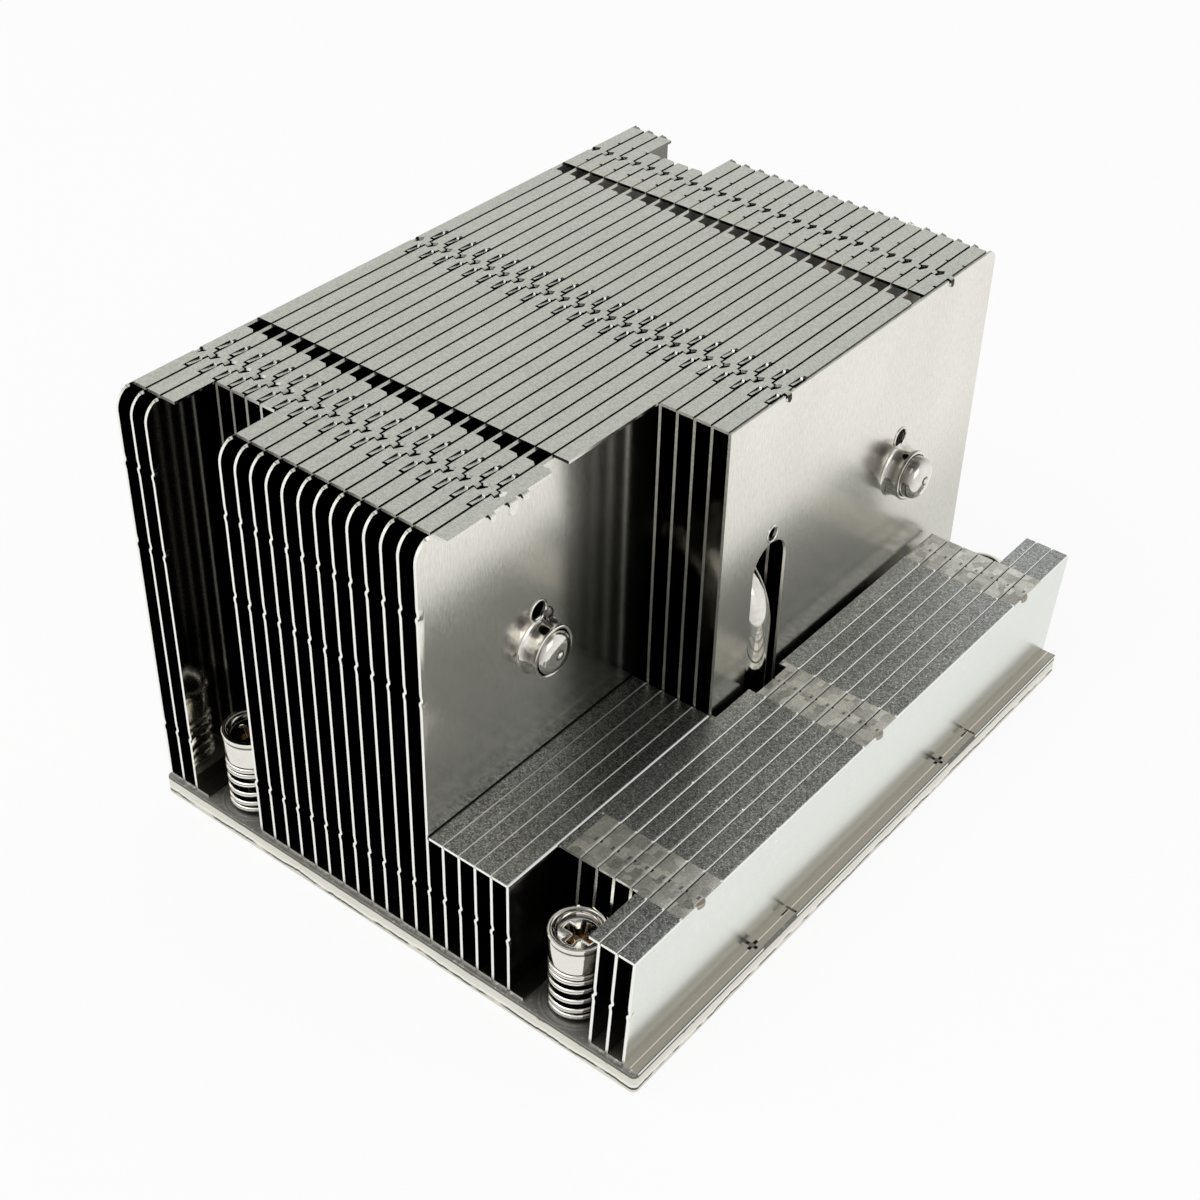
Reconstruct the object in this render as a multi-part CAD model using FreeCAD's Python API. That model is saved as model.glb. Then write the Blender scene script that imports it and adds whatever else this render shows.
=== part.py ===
import FreeCAD, Part
import math
import os

# Passive heatsink for a server processor: a plated base plate, 32 folded sheet fins that
# interlock into one stack, three heat pipes and four spring-loaded captive screws.
# Millimetres. X runs across the fins, Y along them with the air, Z is up.
# The origin is the centre of the base plate's underside.

# Captive screws: their pattern sets the base plate and the fins around them
screw_spacing_x = 56.0
screw_spacing_y = 94.0
fins_between_screws = 22
screw_sides = 16
head_radius = 3.95
head_band_radius = 3.7
head_rim_height = 0.6
head_height = 4.3
head_cup_radius = 3.0
head_cup_depth = 1.0
recess_arm_length = 4.0
recess_arm_width = 0.9
recess_depth = 1.6
shank_radius = 1.4
thread_radius = 1.9
thread_chamfer = 0.3
tip_recess = 0.2
ledge_thickness = 1.2
ledge_clearance = 0.1
thread_well_clearance = 0.1
under_ledge_gap = 0.1
spring_height = 8.3
spring_wire = 0.9
spring_outer_radius = 3.6
spring_coils = 4.5
spring_steps_per_coil = 8
spring_end_clearance = 0.05

# Base plate
plate_edge_front = 5.15
plate_edge_rear = 3.85
plate_thickness = 3.0
plate_corner_radius = 1.2
fins_margin_side = 0.27
fins_margin_front = 0.7
fins_margin_rear = 0.5

# Fin sheet and fin stack
sheet = 0.4
fin_gap = 0.29
tall_height = 61.4
short_height = 18.3
tall_front_round = 2.8
tall_rear_round = 1.8
round_steps = 3
flange_setback = 0.3
last_tall = 20
last_stepped = 25
last_short = 32
step_from_front = 40.0
short_stack_lean = 1.0
panel_gap = 0.75
stack_join_gap = 0.1

# Slots that cross the tall fins' top flanges
top_slot_width = 2.2
top_slot_from_front = 22.1
top_slot_from_rear = 19.4

# Screw access: the fins over each screw are cut back at both ends
tall_cut_fins = range(4, 8)
short_cut_fins = range(26, 30)
head_room_front = 0.75
tall_head_room_rear = 0.3
short_head_room_rear = 0.8
flange_overhang = 1.3

# Heat pipes
pipe_radius = 3.0
pipe_sides = 16
pipe_bend_steps = 5
pipe_bend_radius = 10.0
pipe_spacing = 30.5
pipe_height = 35.5
left_leg_fins = range(9, 14)
right_leg_fins = range(21, 26)
left_leg_inset = 0.1
right_leg_protrusion = 0.45
middle_pipe_end_fin = 8
pipe_tip_length = 1.0
pipe_tip_radius = 1.9
pipe_protrusion = 2.3
pipe_foot_thickness = 2.2
pipe_foot_width = 8.1
pipe_foot_length = 34.0
foot_clearance = 0.05
pipe_hole_clearance = 0.1
leg_slot_clearance = 0.7
leg_slot_rise = 0.6
hole_sides = 12
collar_wall = 0.55
collar_length = 2.2
solder_hole_radius = 1.35
solder_hole_rise = 5.1
slot_hole_radius = 1.1
slot_hole_margin = 0.25
flange_cutout_clearance = 0.5
flange_cutout_depth = 1.2

# Places worked out from the sizes above
fin_pitch = screw_spacing_x / fins_between_screws
flange_width = fin_pitch - fin_gap
stack_width = (last_short - 1) * fin_pitch + flange_width
plate_width = stack_width + 2 * fins_margin_side
plate_length = screw_spacing_y + plate_edge_front + plate_edge_rear
plate_front = -plate_length / 2
screw_front_y = plate_front + plate_edge_front
screw_rear_y = screw_front_y + screw_spacing_y
fins_left = -stack_width / 2
fins_front = plate_front + fins_margin_front
fins_rear = plate_front + plate_length - fins_margin_rear
foot_z = plate_thickness
tall_z = foot_z + tall_height
short_z = foot_z + short_height
step_y = fins_front + step_from_front
slot_starts = (fins_front + top_slot_from_front - top_slot_width / 2,
               fins_rear - top_slot_from_rear - top_slot_width / 2)
pipe_centre_y = (fins_front + fins_rear) / 2
pipe_axis_z = foot_z + pipe_height
pipe_hole_radius = pipe_radius + pipe_hole_clearance
leg_slot_radius = pipe_radius + leg_slot_clearance
leg_slot_top_z = pipe_axis_z + leg_slot_rise
head_seat_z = foot_z + spring_height
cut_front_y = screw_front_y + head_radius + head_room_front
tall_cut_rear_y = screw_rear_y - head_radius - tall_head_room_rear
short_cut_rear_y = screw_rear_y - head_radius - short_head_room_rear
thread_top_z = plate_thickness - ledge_thickness - under_ledge_gap
over = sheet


def vector(x, y, z):
    return FreeCAD.Vector(x, y, z)


def block(x0, x1, y0, y1, z0, z1):
    return Part.makeBox(x1 - x0, y1 - y0, z1 - z0, vector(x0, y0, z0))


def rod_x(radius, x0, x1, y, z):
    return Part.makeCylinder(radius, x1 - x0, vector(x0, y, z), vector(1, 0, 0))


def rod_z(radius, z0, z1, x=0.0, y=0.0):
    return Part.makeCylinder(radius, z1 - z0, vector(x, y, z0), vector(0, 0, 1))


def save(name, shape):
    if not shape.isValid() or len(shape.Solids) != 1:
        raise ValueError("%s is not one valid solid" % name)
    shape.exportStep("parts/%s.step" % name)


def web_x(index):
    """Left face of a fin's web at the base."""
    return fins_left + (index - 1) * fin_pitch


def extrude_outline(points, direction):
    face = Part.Face(Part.makePolygon(points + points[:1]))
    return face.extrude(direction)


def ring(radius, sides, around=False):
    """Corners of a regular polygon, flat side up: on the circle, or drawn around it."""
    half_turn = math.pi / sides
    reach = radius / math.cos(half_turn) if around else radius
    turns = [half_turn + 2 * half_turn * side for side in range(sides)]
    return [(reach * math.cos(turn), reach * math.sin(turn)) for turn in turns]


def hole_x(radius, x0, x1, y, z):
    """Many-sided cutter along X that clears a circle of the radius."""
    points = [vector(x0, y + dy, z + dz) for dy, dz in ring(radius, hole_sides, True)]
    return extrude_outline(points, vector(x1 - x0, 0, 0))


def corner(x, cy, radius, start_deg):
    """Points of a quarter round at the top of a web, turning clockwise from start_deg."""
    points = []
    for step in range(round_steps + 1):
        angle = math.radians(start_deg - 90 * step / round_steps)
        points.append(vector(x, cy + radius * math.cos(angle), tall_z - radius + radius * math.sin(angle)))
    return points


def tall_web(x, front, rear, front_round, rear_round):
    """Upright sheet between the two flanges, with its top corners rounded."""
    points = [vector(x, front, foot_z)]
    if front_round > 0:
        points += corner(x, front + front_round, front_round, 180)
    else:
        points.append(vector(x, front, tall_z))
    if rear_round > 0:
        points += corner(x, rear - rear_round, rear_round, 90)
    else:
        points.append(vector(x, rear, tall_z))
    points.append(vector(x, rear, foot_z))
    return extrude_outline(points, vector(sheet, 0, 0))


def top_flange(x, front, rear):
    """Top flange folded towards +X, crossed by the two slots."""
    pieces = []
    start = front
    for slot_front in slot_starts:
        slot_rear = slot_front + top_slot_width
        if slot_front > start:
            pieces.append(block(x, x + flange_width, start, slot_front, tall_z - sheet, tall_z))
            start = slot_rear
    pieces.append(block(x, x + flange_width, start, rear, tall_z - sheet, tall_z))
    return pieces


def bottom_flange(x, front, rear):
    return block(x, x + flange_width, front, rear, foot_z, foot_z + sheet)


def short_profile(x, flange_reach, lean, front, rear):
    """Short fin: bottom flange to +X, top flange to -X, the web leaning out by lean."""
    top = short_z - foot_z
    lean_under = lean * (top - sheet) / top
    lean_over = lean * sheet / top
    outline = (
        (0, 0),
        (flange_width, 0),
        (flange_width, sheet),
        (sheet + lean_over, sheet),
        (sheet + lean, top),
        (lean + sheet - flange_reach, top),
        (lean + sheet - flange_reach, top - sheet),
        (lean_under, top - sheet),
    )
    points = [vector(x + px, front, foot_z + pz) for px, pz in outline]
    return extrude_outline(points, vector(0, rear - front, 0))


def fuse_all(shapes):
    body = shapes[0].multiFuse(shapes[1:])
    return body.removeSplitter()


def tall_fin(index):
    x = web_x(index)
    if index in tall_cut_fins:
        front, rear = cut_front_y, tall_cut_rear_y
        web = tall_web(x, front, rear, 0, 0)
        flanges = top_flange(x, front, rear)
    else:
        front, rear = fins_front, fins_rear
        web = tall_web(x, front, rear, tall_front_round, tall_rear_round)
        flanges = top_flange(x, front + tall_front_round, rear - tall_rear_round - flange_setback)
    return fuse_all([web, bottom_flange(x, front, rear)] + flanges)


def stepped_fin(index):
    """Short in front of the step, tall behind it. The last one has no top flange behind."""
    x = web_x(index)
    tall = tall_web(x, step_y, fins_rear, 0, tall_rear_round)
    parts = [tall, short_profile(x, flange_width, 0, fins_front, step_y)]
    parts.append(bottom_flange(x, step_y, fins_rear))
    if index < last_stepped:
        parts += top_flange(x, step_y, fins_rear - tall_rear_round - flange_setback)
    return fuse_all(parts)


def short_fin(index):
    x = web_x(index)
    if index in short_cut_fins:
        front, rear = cut_front_y, short_cut_rear_y
    else:
        front, rear = fins_front, fins_rear
    fin = short_profile(x, flange_width, short_stack_lean, front, rear)
    if index == last_stepped + 1:
        fin = join_to_panel(x, front, rear, fin)
    if index == last_short - 2:
        trim_to = x + short_stack_lean - flange_overhang
        for y0, y1 in ((front - over, cut_front_y), (short_cut_rear_y, rear + over)):
            fin = fin.cut(block(trim_to - flange_width, trim_to, y0, y1, short_z - 2 * sheet, short_z + over))
    return fin


def join_to_panel(x, front, rear, fin):
    """Widen the first short fin's top flange towards the stepped fins and clear the middle pipe."""
    panel_face = web_x(last_stepped) + sheet
    free_edge = x + short_stack_lean + sheet - flange_width
    closed = block(panel_face + stack_join_gap, free_edge + sheet, front, step_y, short_z - sheet, short_z)
    spaced = block(panel_face + panel_gap, free_edge + sheet, step_y, rear, short_z - sheet, short_z)
    fin = fuse_all([fin, closed, spaced])
    half = pipe_radius + flange_cutout_clearance
    return fin.cut(block(panel_face, panel_face + panel_gap + flange_cutout_depth, pipe_centre_y - half,
                         pipe_centre_y + half, short_z - 2 * sheet, short_z + over))


# Each pipe: the side of its upright leg, its place along Y and the fin that it ends beyond
pipes = (
    ("front", -1, pipe_centre_y - pipe_spacing, last_tall),
    ("middle", 1, pipe_centre_y, middle_pipe_end_fin),
    ("rear", -1, pipe_centre_y + pipe_spacing, last_stepped),
)


def leg_fins(side):
    return left_leg_fins if side < 0 else right_leg_fins


def pipe_leg_x(side):
    """The left legs stand just inside their first fin; the right one looks out of the last."""
    if side < 0:
        return web_x(left_leg_fins[0]) + left_leg_inset + pipe_radius
    return web_x(right_leg_fins[-1]) + sheet + right_leg_protrusion - pipe_radius


def pipe_tip_x(side, end_fin):
    if side < 0:
        return web_x(end_fin) + sheet + pipe_protrusion
    return web_x(end_fin) - pipe_protrusion / 2


def heat_pipe(side, y, end_fin):
    """Domed tip, level run through the fins, bend, upright leg and flattened foot."""
    leg_x = pipe_leg_x(side)
    tip_x = pipe_tip_x(side, end_fin)
    bend_centre_x = leg_x - side * pipe_bend_radius
    bend_centre_z = pipe_axis_z - pipe_bend_radius
    section = ring(pipe_radius, pipe_sides)
    low_z = foot_z - pipe_foot_thickness / 2
    rings = [[vector(leg_x + side * out, y + across, low_z) for across, out in section]]
    for step in range(pipe_bend_steps + 1):
        angle = math.pi / 2 * step / pipe_bend_steps
        points = []
        for across, out in section:
            reach = pipe_bend_radius + out
            bend_x = bend_centre_x + side * reach * math.cos(angle)
            points.append(vector(bend_x, y + across, bend_centre_z + reach * math.sin(angle)))
        rings.append(points)
    root_x = tip_x + side * pipe_tip_length
    rings.append([vector(root_x, y + across, pipe_axis_z + out) for across, out in section])
    tip = ring(pipe_tip_radius, pipe_sides)
    rings.append([vector(tip_x, y + across, pipe_axis_z + out) for across, out in tip])
    return fuse_all([skin(rings), pipe_foot(side, y, 0)])


def skin(rings):
    """Closed solid through a row of rings with equal numbers of corners."""
    faces = [polygon_face(rings[0]), polygon_face(rings[-1])]
    count = len(rings[0])
    for near, far in zip(rings, rings[1:]):
        for here in range(count):
            there = (here + 1) % count
            faces.append(polygon_face([near[here], near[there], far[there], far[here]]))
    solid = Part.makeSolid(Part.makeShell(faces))
    if solid.Volume < 0:
        solid.reverse()
    return solid


def pipe_foot(side, y, clearance):
    """The pressed part of a pipe in its groove in the base plate, round at both ends."""
    half_width = pipe_foot_width / 2 + clearance
    low, high = sorted((pipe_leg_x(side), pipe_leg_x(side) - side * pipe_foot_length))
    z0 = foot_z - pipe_foot_thickness - clearance
    z1 = foot_z - foot_clearance if clearance == 0 else foot_z + over
    right = [(out, across) for across, out in ring(half_width, hole_sides) if out > 0]
    points = [vector(high + out, y + across, z0) for out, across in sorted(right, key=lambda p: p[1])]
    points += [vector(low - out, y + across, z0) for out, across in sorted(right, key=lambda p: -p[1])]
    return extrude_outline(points, vector(0, 0, z1 - z0))


def leg_slot(y, x0, x1):
    """Tall round-topped opening that lets an upright leg and its bend through a fin."""
    arch = [(dy, dz) for dy, dz in ring(leg_slot_radius, hole_sides, True) if dz > 0]
    points = [vector(x0, y - leg_slot_radius, foot_z - over), vector(x0, y + leg_slot_radius, foot_z - over)]
    points += [vector(x0, y + dy, leg_slot_top_z + dz) for dy, dz in sorted(arch, key=lambda p: -p[0])]
    return extrude_outline(points, vector(x1 - x0, 0, 0))


def open_for_pipes(index, fin):
    x = web_x(index)
    x0 = x - 0.5 * fin_gap
    x1 = x + flange_width + 0.5 * fin_gap
    for name, side, y, end_fin in pipes:
        legs = leg_fins(side)
        first, last = (legs[-1] + 1, end_fin) if side < 0 else (end_fin, legs[0] - 1)
        if index in legs:
            fin = fin.cut(leg_slot(y, x0, x1))
        elif first <= index <= last:
            fin = fin.cut(hole_x(pipe_hole_radius, x0, x + 2 * sheet, y, pipe_axis_z))
    return fin


def add_collar(index, y, fin):
    """Drawn collar round the pipe where it leaves the last fin, with the solder hole over it."""
    face_x = web_x(index) + sheet
    outer_radius = pipe_hole_radius + collar_wall
    outer = [vector(face_x, y + dy, pipe_axis_z + dz) for dy, dz in ring(outer_radius, 2 * hole_sides)]
    collar = extrude_outline(outer, vector(collar_length, 0, 0))
    fin = fin.fuse(collar)
    fin = fin.cut(hole_x(pipe_hole_radius, face_x - over, face_x + collar_length + over, y, pipe_axis_z))
    hole_z = pipe_axis_z + solder_hole_rise
    return fin.cut(hole_x(solder_hole_radius, face_x - 2 * sheet, face_x + over, y, hole_z)).removeSplitter()


def add_slot_hole(index, y, fin):
    """Solder hole over the leg slot of the last stepped fin."""
    face_x = web_x(index) + sheet
    hole_z = leg_slot_top_z + leg_slot_radius + slot_hole_margin + slot_hole_radius
    return fin.cut(hole_x(slot_hole_radius, face_x - 2 * sheet, face_x + over, y, hole_z))


def make_fin(index):
    if index <= last_tall:
        fin = tall_fin(index)
    elif index <= last_stepped:
        fin = stepped_fin(index)
    else:
        fin = short_fin(index)
    fin = open_for_pipes(index, fin)
    for name, side, y, end_fin in pipes:
        if index == end_fin and side < 0:
            fin = add_collar(index, y, fin)
        if index == last_stepped and side > 0:
            fin = add_slot_hole(index, y, fin)
    return fin


def screw_places():
    """Front left, front right, rear left and rear right."""
    for row, y in (("front", screw_front_y), ("rear", screw_rear_y)):
        for column, sign_x in (("left", -1), ("right", 1)):
            yield "%s_%s" % (row, column), sign_x * screw_spacing_x / 2, y


def base_plate():
    cut = plate_corner_radius
    steps = [math.radians(90 * step / round_steps) for step in range(round_steps + 1)]
    points = []
    for sign_x, sign_y, turn in ((1, 1, 0), (-1, 1, 90), (-1, -1, 180), (1, -1, 270)):
        cx = sign_x * (plate_width / 2 - cut)
        cy = sign_y * (plate_length / 2 - cut)
        for step in steps:
            angle = step + math.radians(turn)
            points.append(vector(cx + cut * math.cos(angle), cy + cut * math.sin(angle), 0))
    plate = extrude_outline(points, vector(0, 0, plate_thickness))
    for name, side, y, end_fin in pipes:
        plate = plate.cut(pipe_foot(side, y, foot_clearance))
    for name, x, y in screw_places():
        plate = plate.cut(rod_z(shank_radius + ledge_clearance, -over, plate_thickness + over, x, y))
        well_top = plate_thickness - ledge_thickness
        plate = plate.cut(rod_z(thread_radius + thread_well_clearance, -over, well_top, x, y))
    return plate


def turned_piece(radius, z0, z1, x, y):
    """Many-sided length of a turned piece."""
    points = [vector(x + dx, y + dy, z0) for dx, dy in ring(radius, screw_sides)]
    return extrude_outline(points, vector(0, 0, z1 - z0))


def captive_screw(x, y):
    """Cup-shaped head with a cross recess, slim shank and the wider thread that holds it captive."""
    top = head_seat_z + head_height
    floor_z = top - head_cup_depth
    chamfer_z = tip_recess + thread_chamfer
    ends = ((thread_radius - thread_chamfer, tip_recess), (thread_radius, chamfer_z))
    tip = skin([[vector(x + dx, y + dy, z) for dx, dy in ring(radius, screw_sides)] for radius, z in ends])
    screw = fuse_all([
        tip,
        turned_piece(thread_radius, chamfer_z, thread_top_z, x, y),
        turned_piece(shank_radius, thread_top_z, head_seat_z, x, y),
        turned_piece(head_band_radius, head_seat_z, top - head_rim_height, x, y),
        turned_piece(head_radius, top - head_rim_height, top, x, y),
    ])
    screw = screw.cut(turned_piece(head_cup_radius, floor_z, top + over, x, y))
    long_half = recess_arm_length / 2
    short_half = recess_arm_width / 2
    for half_x, half_y in ((long_half, short_half), (short_half, long_half)):
        screw = screw.cut(block(x - half_x, x + half_x, y - half_y, y + half_y, floor_z - recess_depth, floor_z + over))
    return screw


def helix_spring(x, y):
    """Round-wire compression spring drawn as a four-sided wire that climbs a helix."""
    mean_radius = spring_outer_radius - spring_wire / 2
    half = spring_wire / 2
    z0 = foot_z + spring_end_clearance + half
    rise = spring_height - 2 * spring_end_clearance - spring_wire
    steps = int(round(spring_coils * spring_steps_per_coil))
    rings = []
    for step in range(steps + 1):
        share = step / steps
        angle = 2 * math.pi * spring_coils * share
        centre_z = z0 + rise * share
        section = []
        for out, up in ((half, 0), (0, half), (-half, 0), (0, -half)):
            radius = mean_radius + out
            section.append(vector(x + radius * math.cos(angle), y + radius * math.sin(angle), centre_z + up))
        rings.append(section)
    faces = [polygon_face(rings[0]), polygon_face(rings[-1][::-1])]
    for low, high in zip(rings, rings[1:]):
        for side in range(4):
            near, far = side, (side + 1) % 4
            faces.append(polygon_face([low[near], low[far], high[far]]))
            faces.append(polygon_face([low[near], high[far], high[near]]))
    shell = Part.makeShell(faces)
    shell.sewShape()
    solid = Part.makeSolid(shell)
    if solid.Volume < 0:
        solid.reverse()
    return solid


def polygon_face(points):
    return Part.Face(Part.makePolygon(points + points[:1]))


def main():
    os.makedirs("parts", exist_ok=True)
    save("base_plate", base_plate())
    for index in range(1, last_short + 1):
        save("fin_%02d" % index, make_fin(index))
    for name, side, y, end_fin in pipes:
        save("heat_pipe_%s" % name, heat_pipe(side, y, end_fin))
    for name, x, y in screw_places():
        save("screw_%s" % name, captive_screw(x, y))
        save("screw_spring_%s" % name, helix_spring(x, y))


main()
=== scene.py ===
"""Passive server processor heatsink: folded sheet fins, heat pipes, captive screws and base plate."""
import math

import bpy
from bpy.props import FloatProperty, FloatVectorProperty, PointerProperty
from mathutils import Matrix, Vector
from mathutils.geometry import delaunay_2d_cdt


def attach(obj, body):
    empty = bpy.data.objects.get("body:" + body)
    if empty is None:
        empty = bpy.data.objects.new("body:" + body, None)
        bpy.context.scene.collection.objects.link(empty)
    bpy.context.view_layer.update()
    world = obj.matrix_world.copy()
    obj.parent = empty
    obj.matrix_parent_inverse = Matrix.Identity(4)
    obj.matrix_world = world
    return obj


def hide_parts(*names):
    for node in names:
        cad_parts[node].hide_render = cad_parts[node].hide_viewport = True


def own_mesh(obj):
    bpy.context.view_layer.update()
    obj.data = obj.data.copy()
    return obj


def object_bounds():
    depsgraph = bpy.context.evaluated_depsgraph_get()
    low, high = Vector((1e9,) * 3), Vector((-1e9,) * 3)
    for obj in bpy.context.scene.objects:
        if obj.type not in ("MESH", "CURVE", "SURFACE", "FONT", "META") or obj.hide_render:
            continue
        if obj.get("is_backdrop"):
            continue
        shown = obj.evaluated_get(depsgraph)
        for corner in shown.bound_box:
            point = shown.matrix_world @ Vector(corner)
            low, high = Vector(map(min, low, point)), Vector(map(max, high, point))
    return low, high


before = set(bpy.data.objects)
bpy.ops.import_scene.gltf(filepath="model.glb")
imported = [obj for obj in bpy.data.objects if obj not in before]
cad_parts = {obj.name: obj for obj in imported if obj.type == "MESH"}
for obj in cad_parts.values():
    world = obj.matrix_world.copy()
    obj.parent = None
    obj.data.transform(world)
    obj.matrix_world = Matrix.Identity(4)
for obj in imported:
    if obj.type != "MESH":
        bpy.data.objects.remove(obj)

bl_info = {
    "name": "Passive Processor Heatsink",
    "version": (1, 0, 0),
    "blender": (4, 5, 0),
    "location": "View3D > Sidebar > Heatsink",
    "description": "Builds the folded fins, heat pipes, captive screws and base plate of a server heatsink",
    "category": "Object",
}

MM = 0.001

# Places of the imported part, in millimetres
SCREW_X, FIN_COUNT = 28.0, 32
PITCH = 56.0 / 22
SHEET = 0.4
HALF = SHEET / 2
FINS_LEFT = -(FIN_COUNT * PITCH - 0.29) / 2
FRONT, REAR = -50.8, 51.0
FOOT_Z, TALL_Z, SHORT_Z = 3.0, 64.4, 21.3
STEP_Y = FRONT + 40.0
LEAN = 1.0
PIPE_Z, PIPE_R = 38.5, 3.0
PIPE_Y = {"front": -30.4, "middle": 0.1, "rear": 30.6}
HOLE_R = PIPE_R + 0.1
ARCH_LIFT, ARCH_R = 0.6, 3.7
SOLDER_LIFT, SOLDER_R = 5.1, 1.45
VENT_R = 1.1
VENT_LIFT = ARCH_LIFT + ARCH_R + 0.25 + VENT_R
PLATE_X, PLATE_Y = 40.85, 51.5
GROOVE_R, GROOVE_RUN, GROOVE_Z = 4.1, 34.0, 0.75
SLOTS = ((-29.8, -27.6), (30.5, 32.7))
CUT_FRONT, CUT_REAR_TALL, CUT_REAR_LOW = -41.65, 43.4, 42.9
LOCK_ROWS = (FRONT + 13.2, FRONT + 52.0, FRONT + 90.1)
LOW_LOCK_ROWS = (FRONT + 12.8, FRONT + 51.4, FRONT + 89.9)
SIDE_TAB_ROWS = (FRONT + 12.4, FRONT + 51.0, FRONT + 88.9)
FOOT_CROSSES = (FRONT + 25.0, FRONT + 70.0)
FRONT_ROUND, REAR_ROUND, FLANGE_END, FLANGE_STOP = 2.8, 1.8, 0.8, 2.1
KINKS_TALL = (FOOT_Z + 9.1, FOOT_Z + 39.3, FOOT_Z + 51.4)
KINKS_LOW = (FOOT_Z + 9.1,)
KINK_DEPTH = 0.8
TAB_BACK, TAB_HOLE, TAB_ROOT, TAB_SINK = 0.66, 0.42, 0.10, 0.24
TAB_EDGES = (0.08, 0.20, 0.08)
SCREWS = {
    "front_left": (-SCREW_X, -46.35),
    "front_right": (SCREW_X, -46.35),
    "rear_left": (-SCREW_X, 47.65),
    "rear_right": (SCREW_X, 47.65),
}
SEAT_Z = 11.3
SCREW_TOP = SEAT_Z + 4.3
TINY = 1e-4


def web_x(index):
    """Left face of a fin's web, at its foot."""
    return FINS_LEFT + (index - 1) * PITCH


PANEL_X = {"front": web_x(20), "rear": web_x(25)}
SIDE_X = web_x(32) + SHEET
LEFT_LEG = web_x(9) + 0.1 + PIPE_R
RIGHT_LEG = web_x(25) + SHEET + 0.45 - PIPE_R
# Each pipe's side of the plate, leg and tip along X
PIPES = {
    "front": (-1, LEFT_LEG, PANEL_X["front"] + SHEET + 3.4),
    "middle": (1, RIGHT_LEG, web_x(8) - 1.15),
    "rear": (-1, LEFT_LEG, PANEL_X["rear"] + SHEET + 4.6),
}

# Colours that no finish setting changes
BLACK = (0.02, 0.02, 0.018)
CUT_EDGE = (0.92, 0.91, 0.87)


# ---------------------------------------------------------------- what a user would change


def length(name, description, default):
    return FloatProperty(name=name, description=description, default=default, unit="LENGTH",
                         subtype="DISTANCE", precision=5)


def colour(name, description, default):
    return FloatVectorProperty(name=name, description=description, default=default, subtype="COLOR",
                               size=3, min=0.0, max=1.0)


class FinSizes(bpy.types.PropertyGroup):
    bend: length("Bend radius", "Middle radius of the folds between web and flanges", 0.000205)
    gap: length("Flange gap", "Gap between a flange's free edge and the next web", 0.00004)
    kink: length("Web kink", "Sideways step of the small stamped kinks in the webs' front edges", 0.00024)
    slit: length("Interlock slit", "Width of the cuts round each interlock's tabs", 0.00008)
    hook: length("Hook drop", "How far an interlock's hook hangs behind the next web", 0.0009)


class PipeSizes(bpy.types.PropertyGroup):
    crimp: length("Domed tip", "Length of a heat pipe's round, crimped end", 0.0012)
    bend: length("Pipe bend", "Middle radius of the bend between leg and level run", 0.010)
    collar: length("Collar wall", "Wall of the drawn collars in the panels", 0.00045)


class ScrewSizes(bpy.types.PropertyGroup):
    rim: length("Head rim", "Radius of the screw head's rolled rim", 0.00387)
    cup: length("Head cup", "Radius of the round hollow in the head", 0.0030)
    cross: length("Cross width", "Width of one arm of the cross recess", 0.0009)
    wire: length("Spring wire", "Thickness of the spring wire", 0.0008)
    coil: length("Spring radius", "Outer radius of the springs", 0.0038)


class PlateSizes(bpy.types.PropertyGroup):
    edge: length("Edge bevel", "Bevel along the base plate's edges", 0.00028)
    corner: length("Corner radius", "Radius of the base plate's corners", 0.0008)


class Finishes(bpy.types.PropertyGroup):
    flange: colour("Satin flanges", "Plated tops of the tall fins", (0.46, 0.465, 0.42))
    web: colour("Brushed panels", "Plated faces of the two tall panels", (0.84, 0.82, 0.75))
    # inner: painted shade, the same plating made darker where it lies deep in the stack
    inner: colour("Inner webs", "Plated faces deep in the stack", (0.19, 0.185, 0.17))
    # dull: partly a painted dark reflection of the tall panels beside the low tops
    dull: colour("Blasted tops", "Sparkling dark tops of the low fins", (0.225, 0.23, 0.22))
    patch: colour("Pressed patches", "Beige patches round the low fins' interlocks", (0.52, 0.51, 0.46))
    panel: colour("Pale side panel", "Outer face of the last low fin", (0.78, 0.80, 0.75))
    plate: colour("Base sides", "Plated sides of the base", (0.70, 0.68, 0.60))
    plate_top: colour("Base top", "Dull top of the base between the fins", (0.22, 0.215, 0.20))
    nickel: colour("Bright nickel", "Screws, springs and pipe ends", (0.80, 0.78, 0.72))


class StageLooks(bpy.types.PropertyGroup):
    floor: colour("Floor", "Pale studio floor", (0.86, 0.86, 0.85))
    fill: FloatProperty(name="Fill", description="Strength of the even room light", default=0.75, min=0.0)
    key: FloatProperty(name="Key", description="Power of the large soft lamp", default=2.2, min=0.0, unit="POWER")
    focal: FloatProperty(name="Focal length", description="Camera lens", default=58.77, unit="CAMERA")


GROUPS = {
    "heatsink_fins": FinSizes,
    "heatsink_pipes": PipeSizes,
    "heatsink_screws": ScrewSizes,
    "heatsink_plate": PlateSizes,
    "heatsink_finishes": Finishes,
    "heatsink_stage": StageLooks,
}


def finishes():
    return bpy.context.scene.heatsink_finishes


def sizes():
    return bpy.context.scene.heatsink_fins


# ---------------------------------------------------------------- nodes


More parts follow.
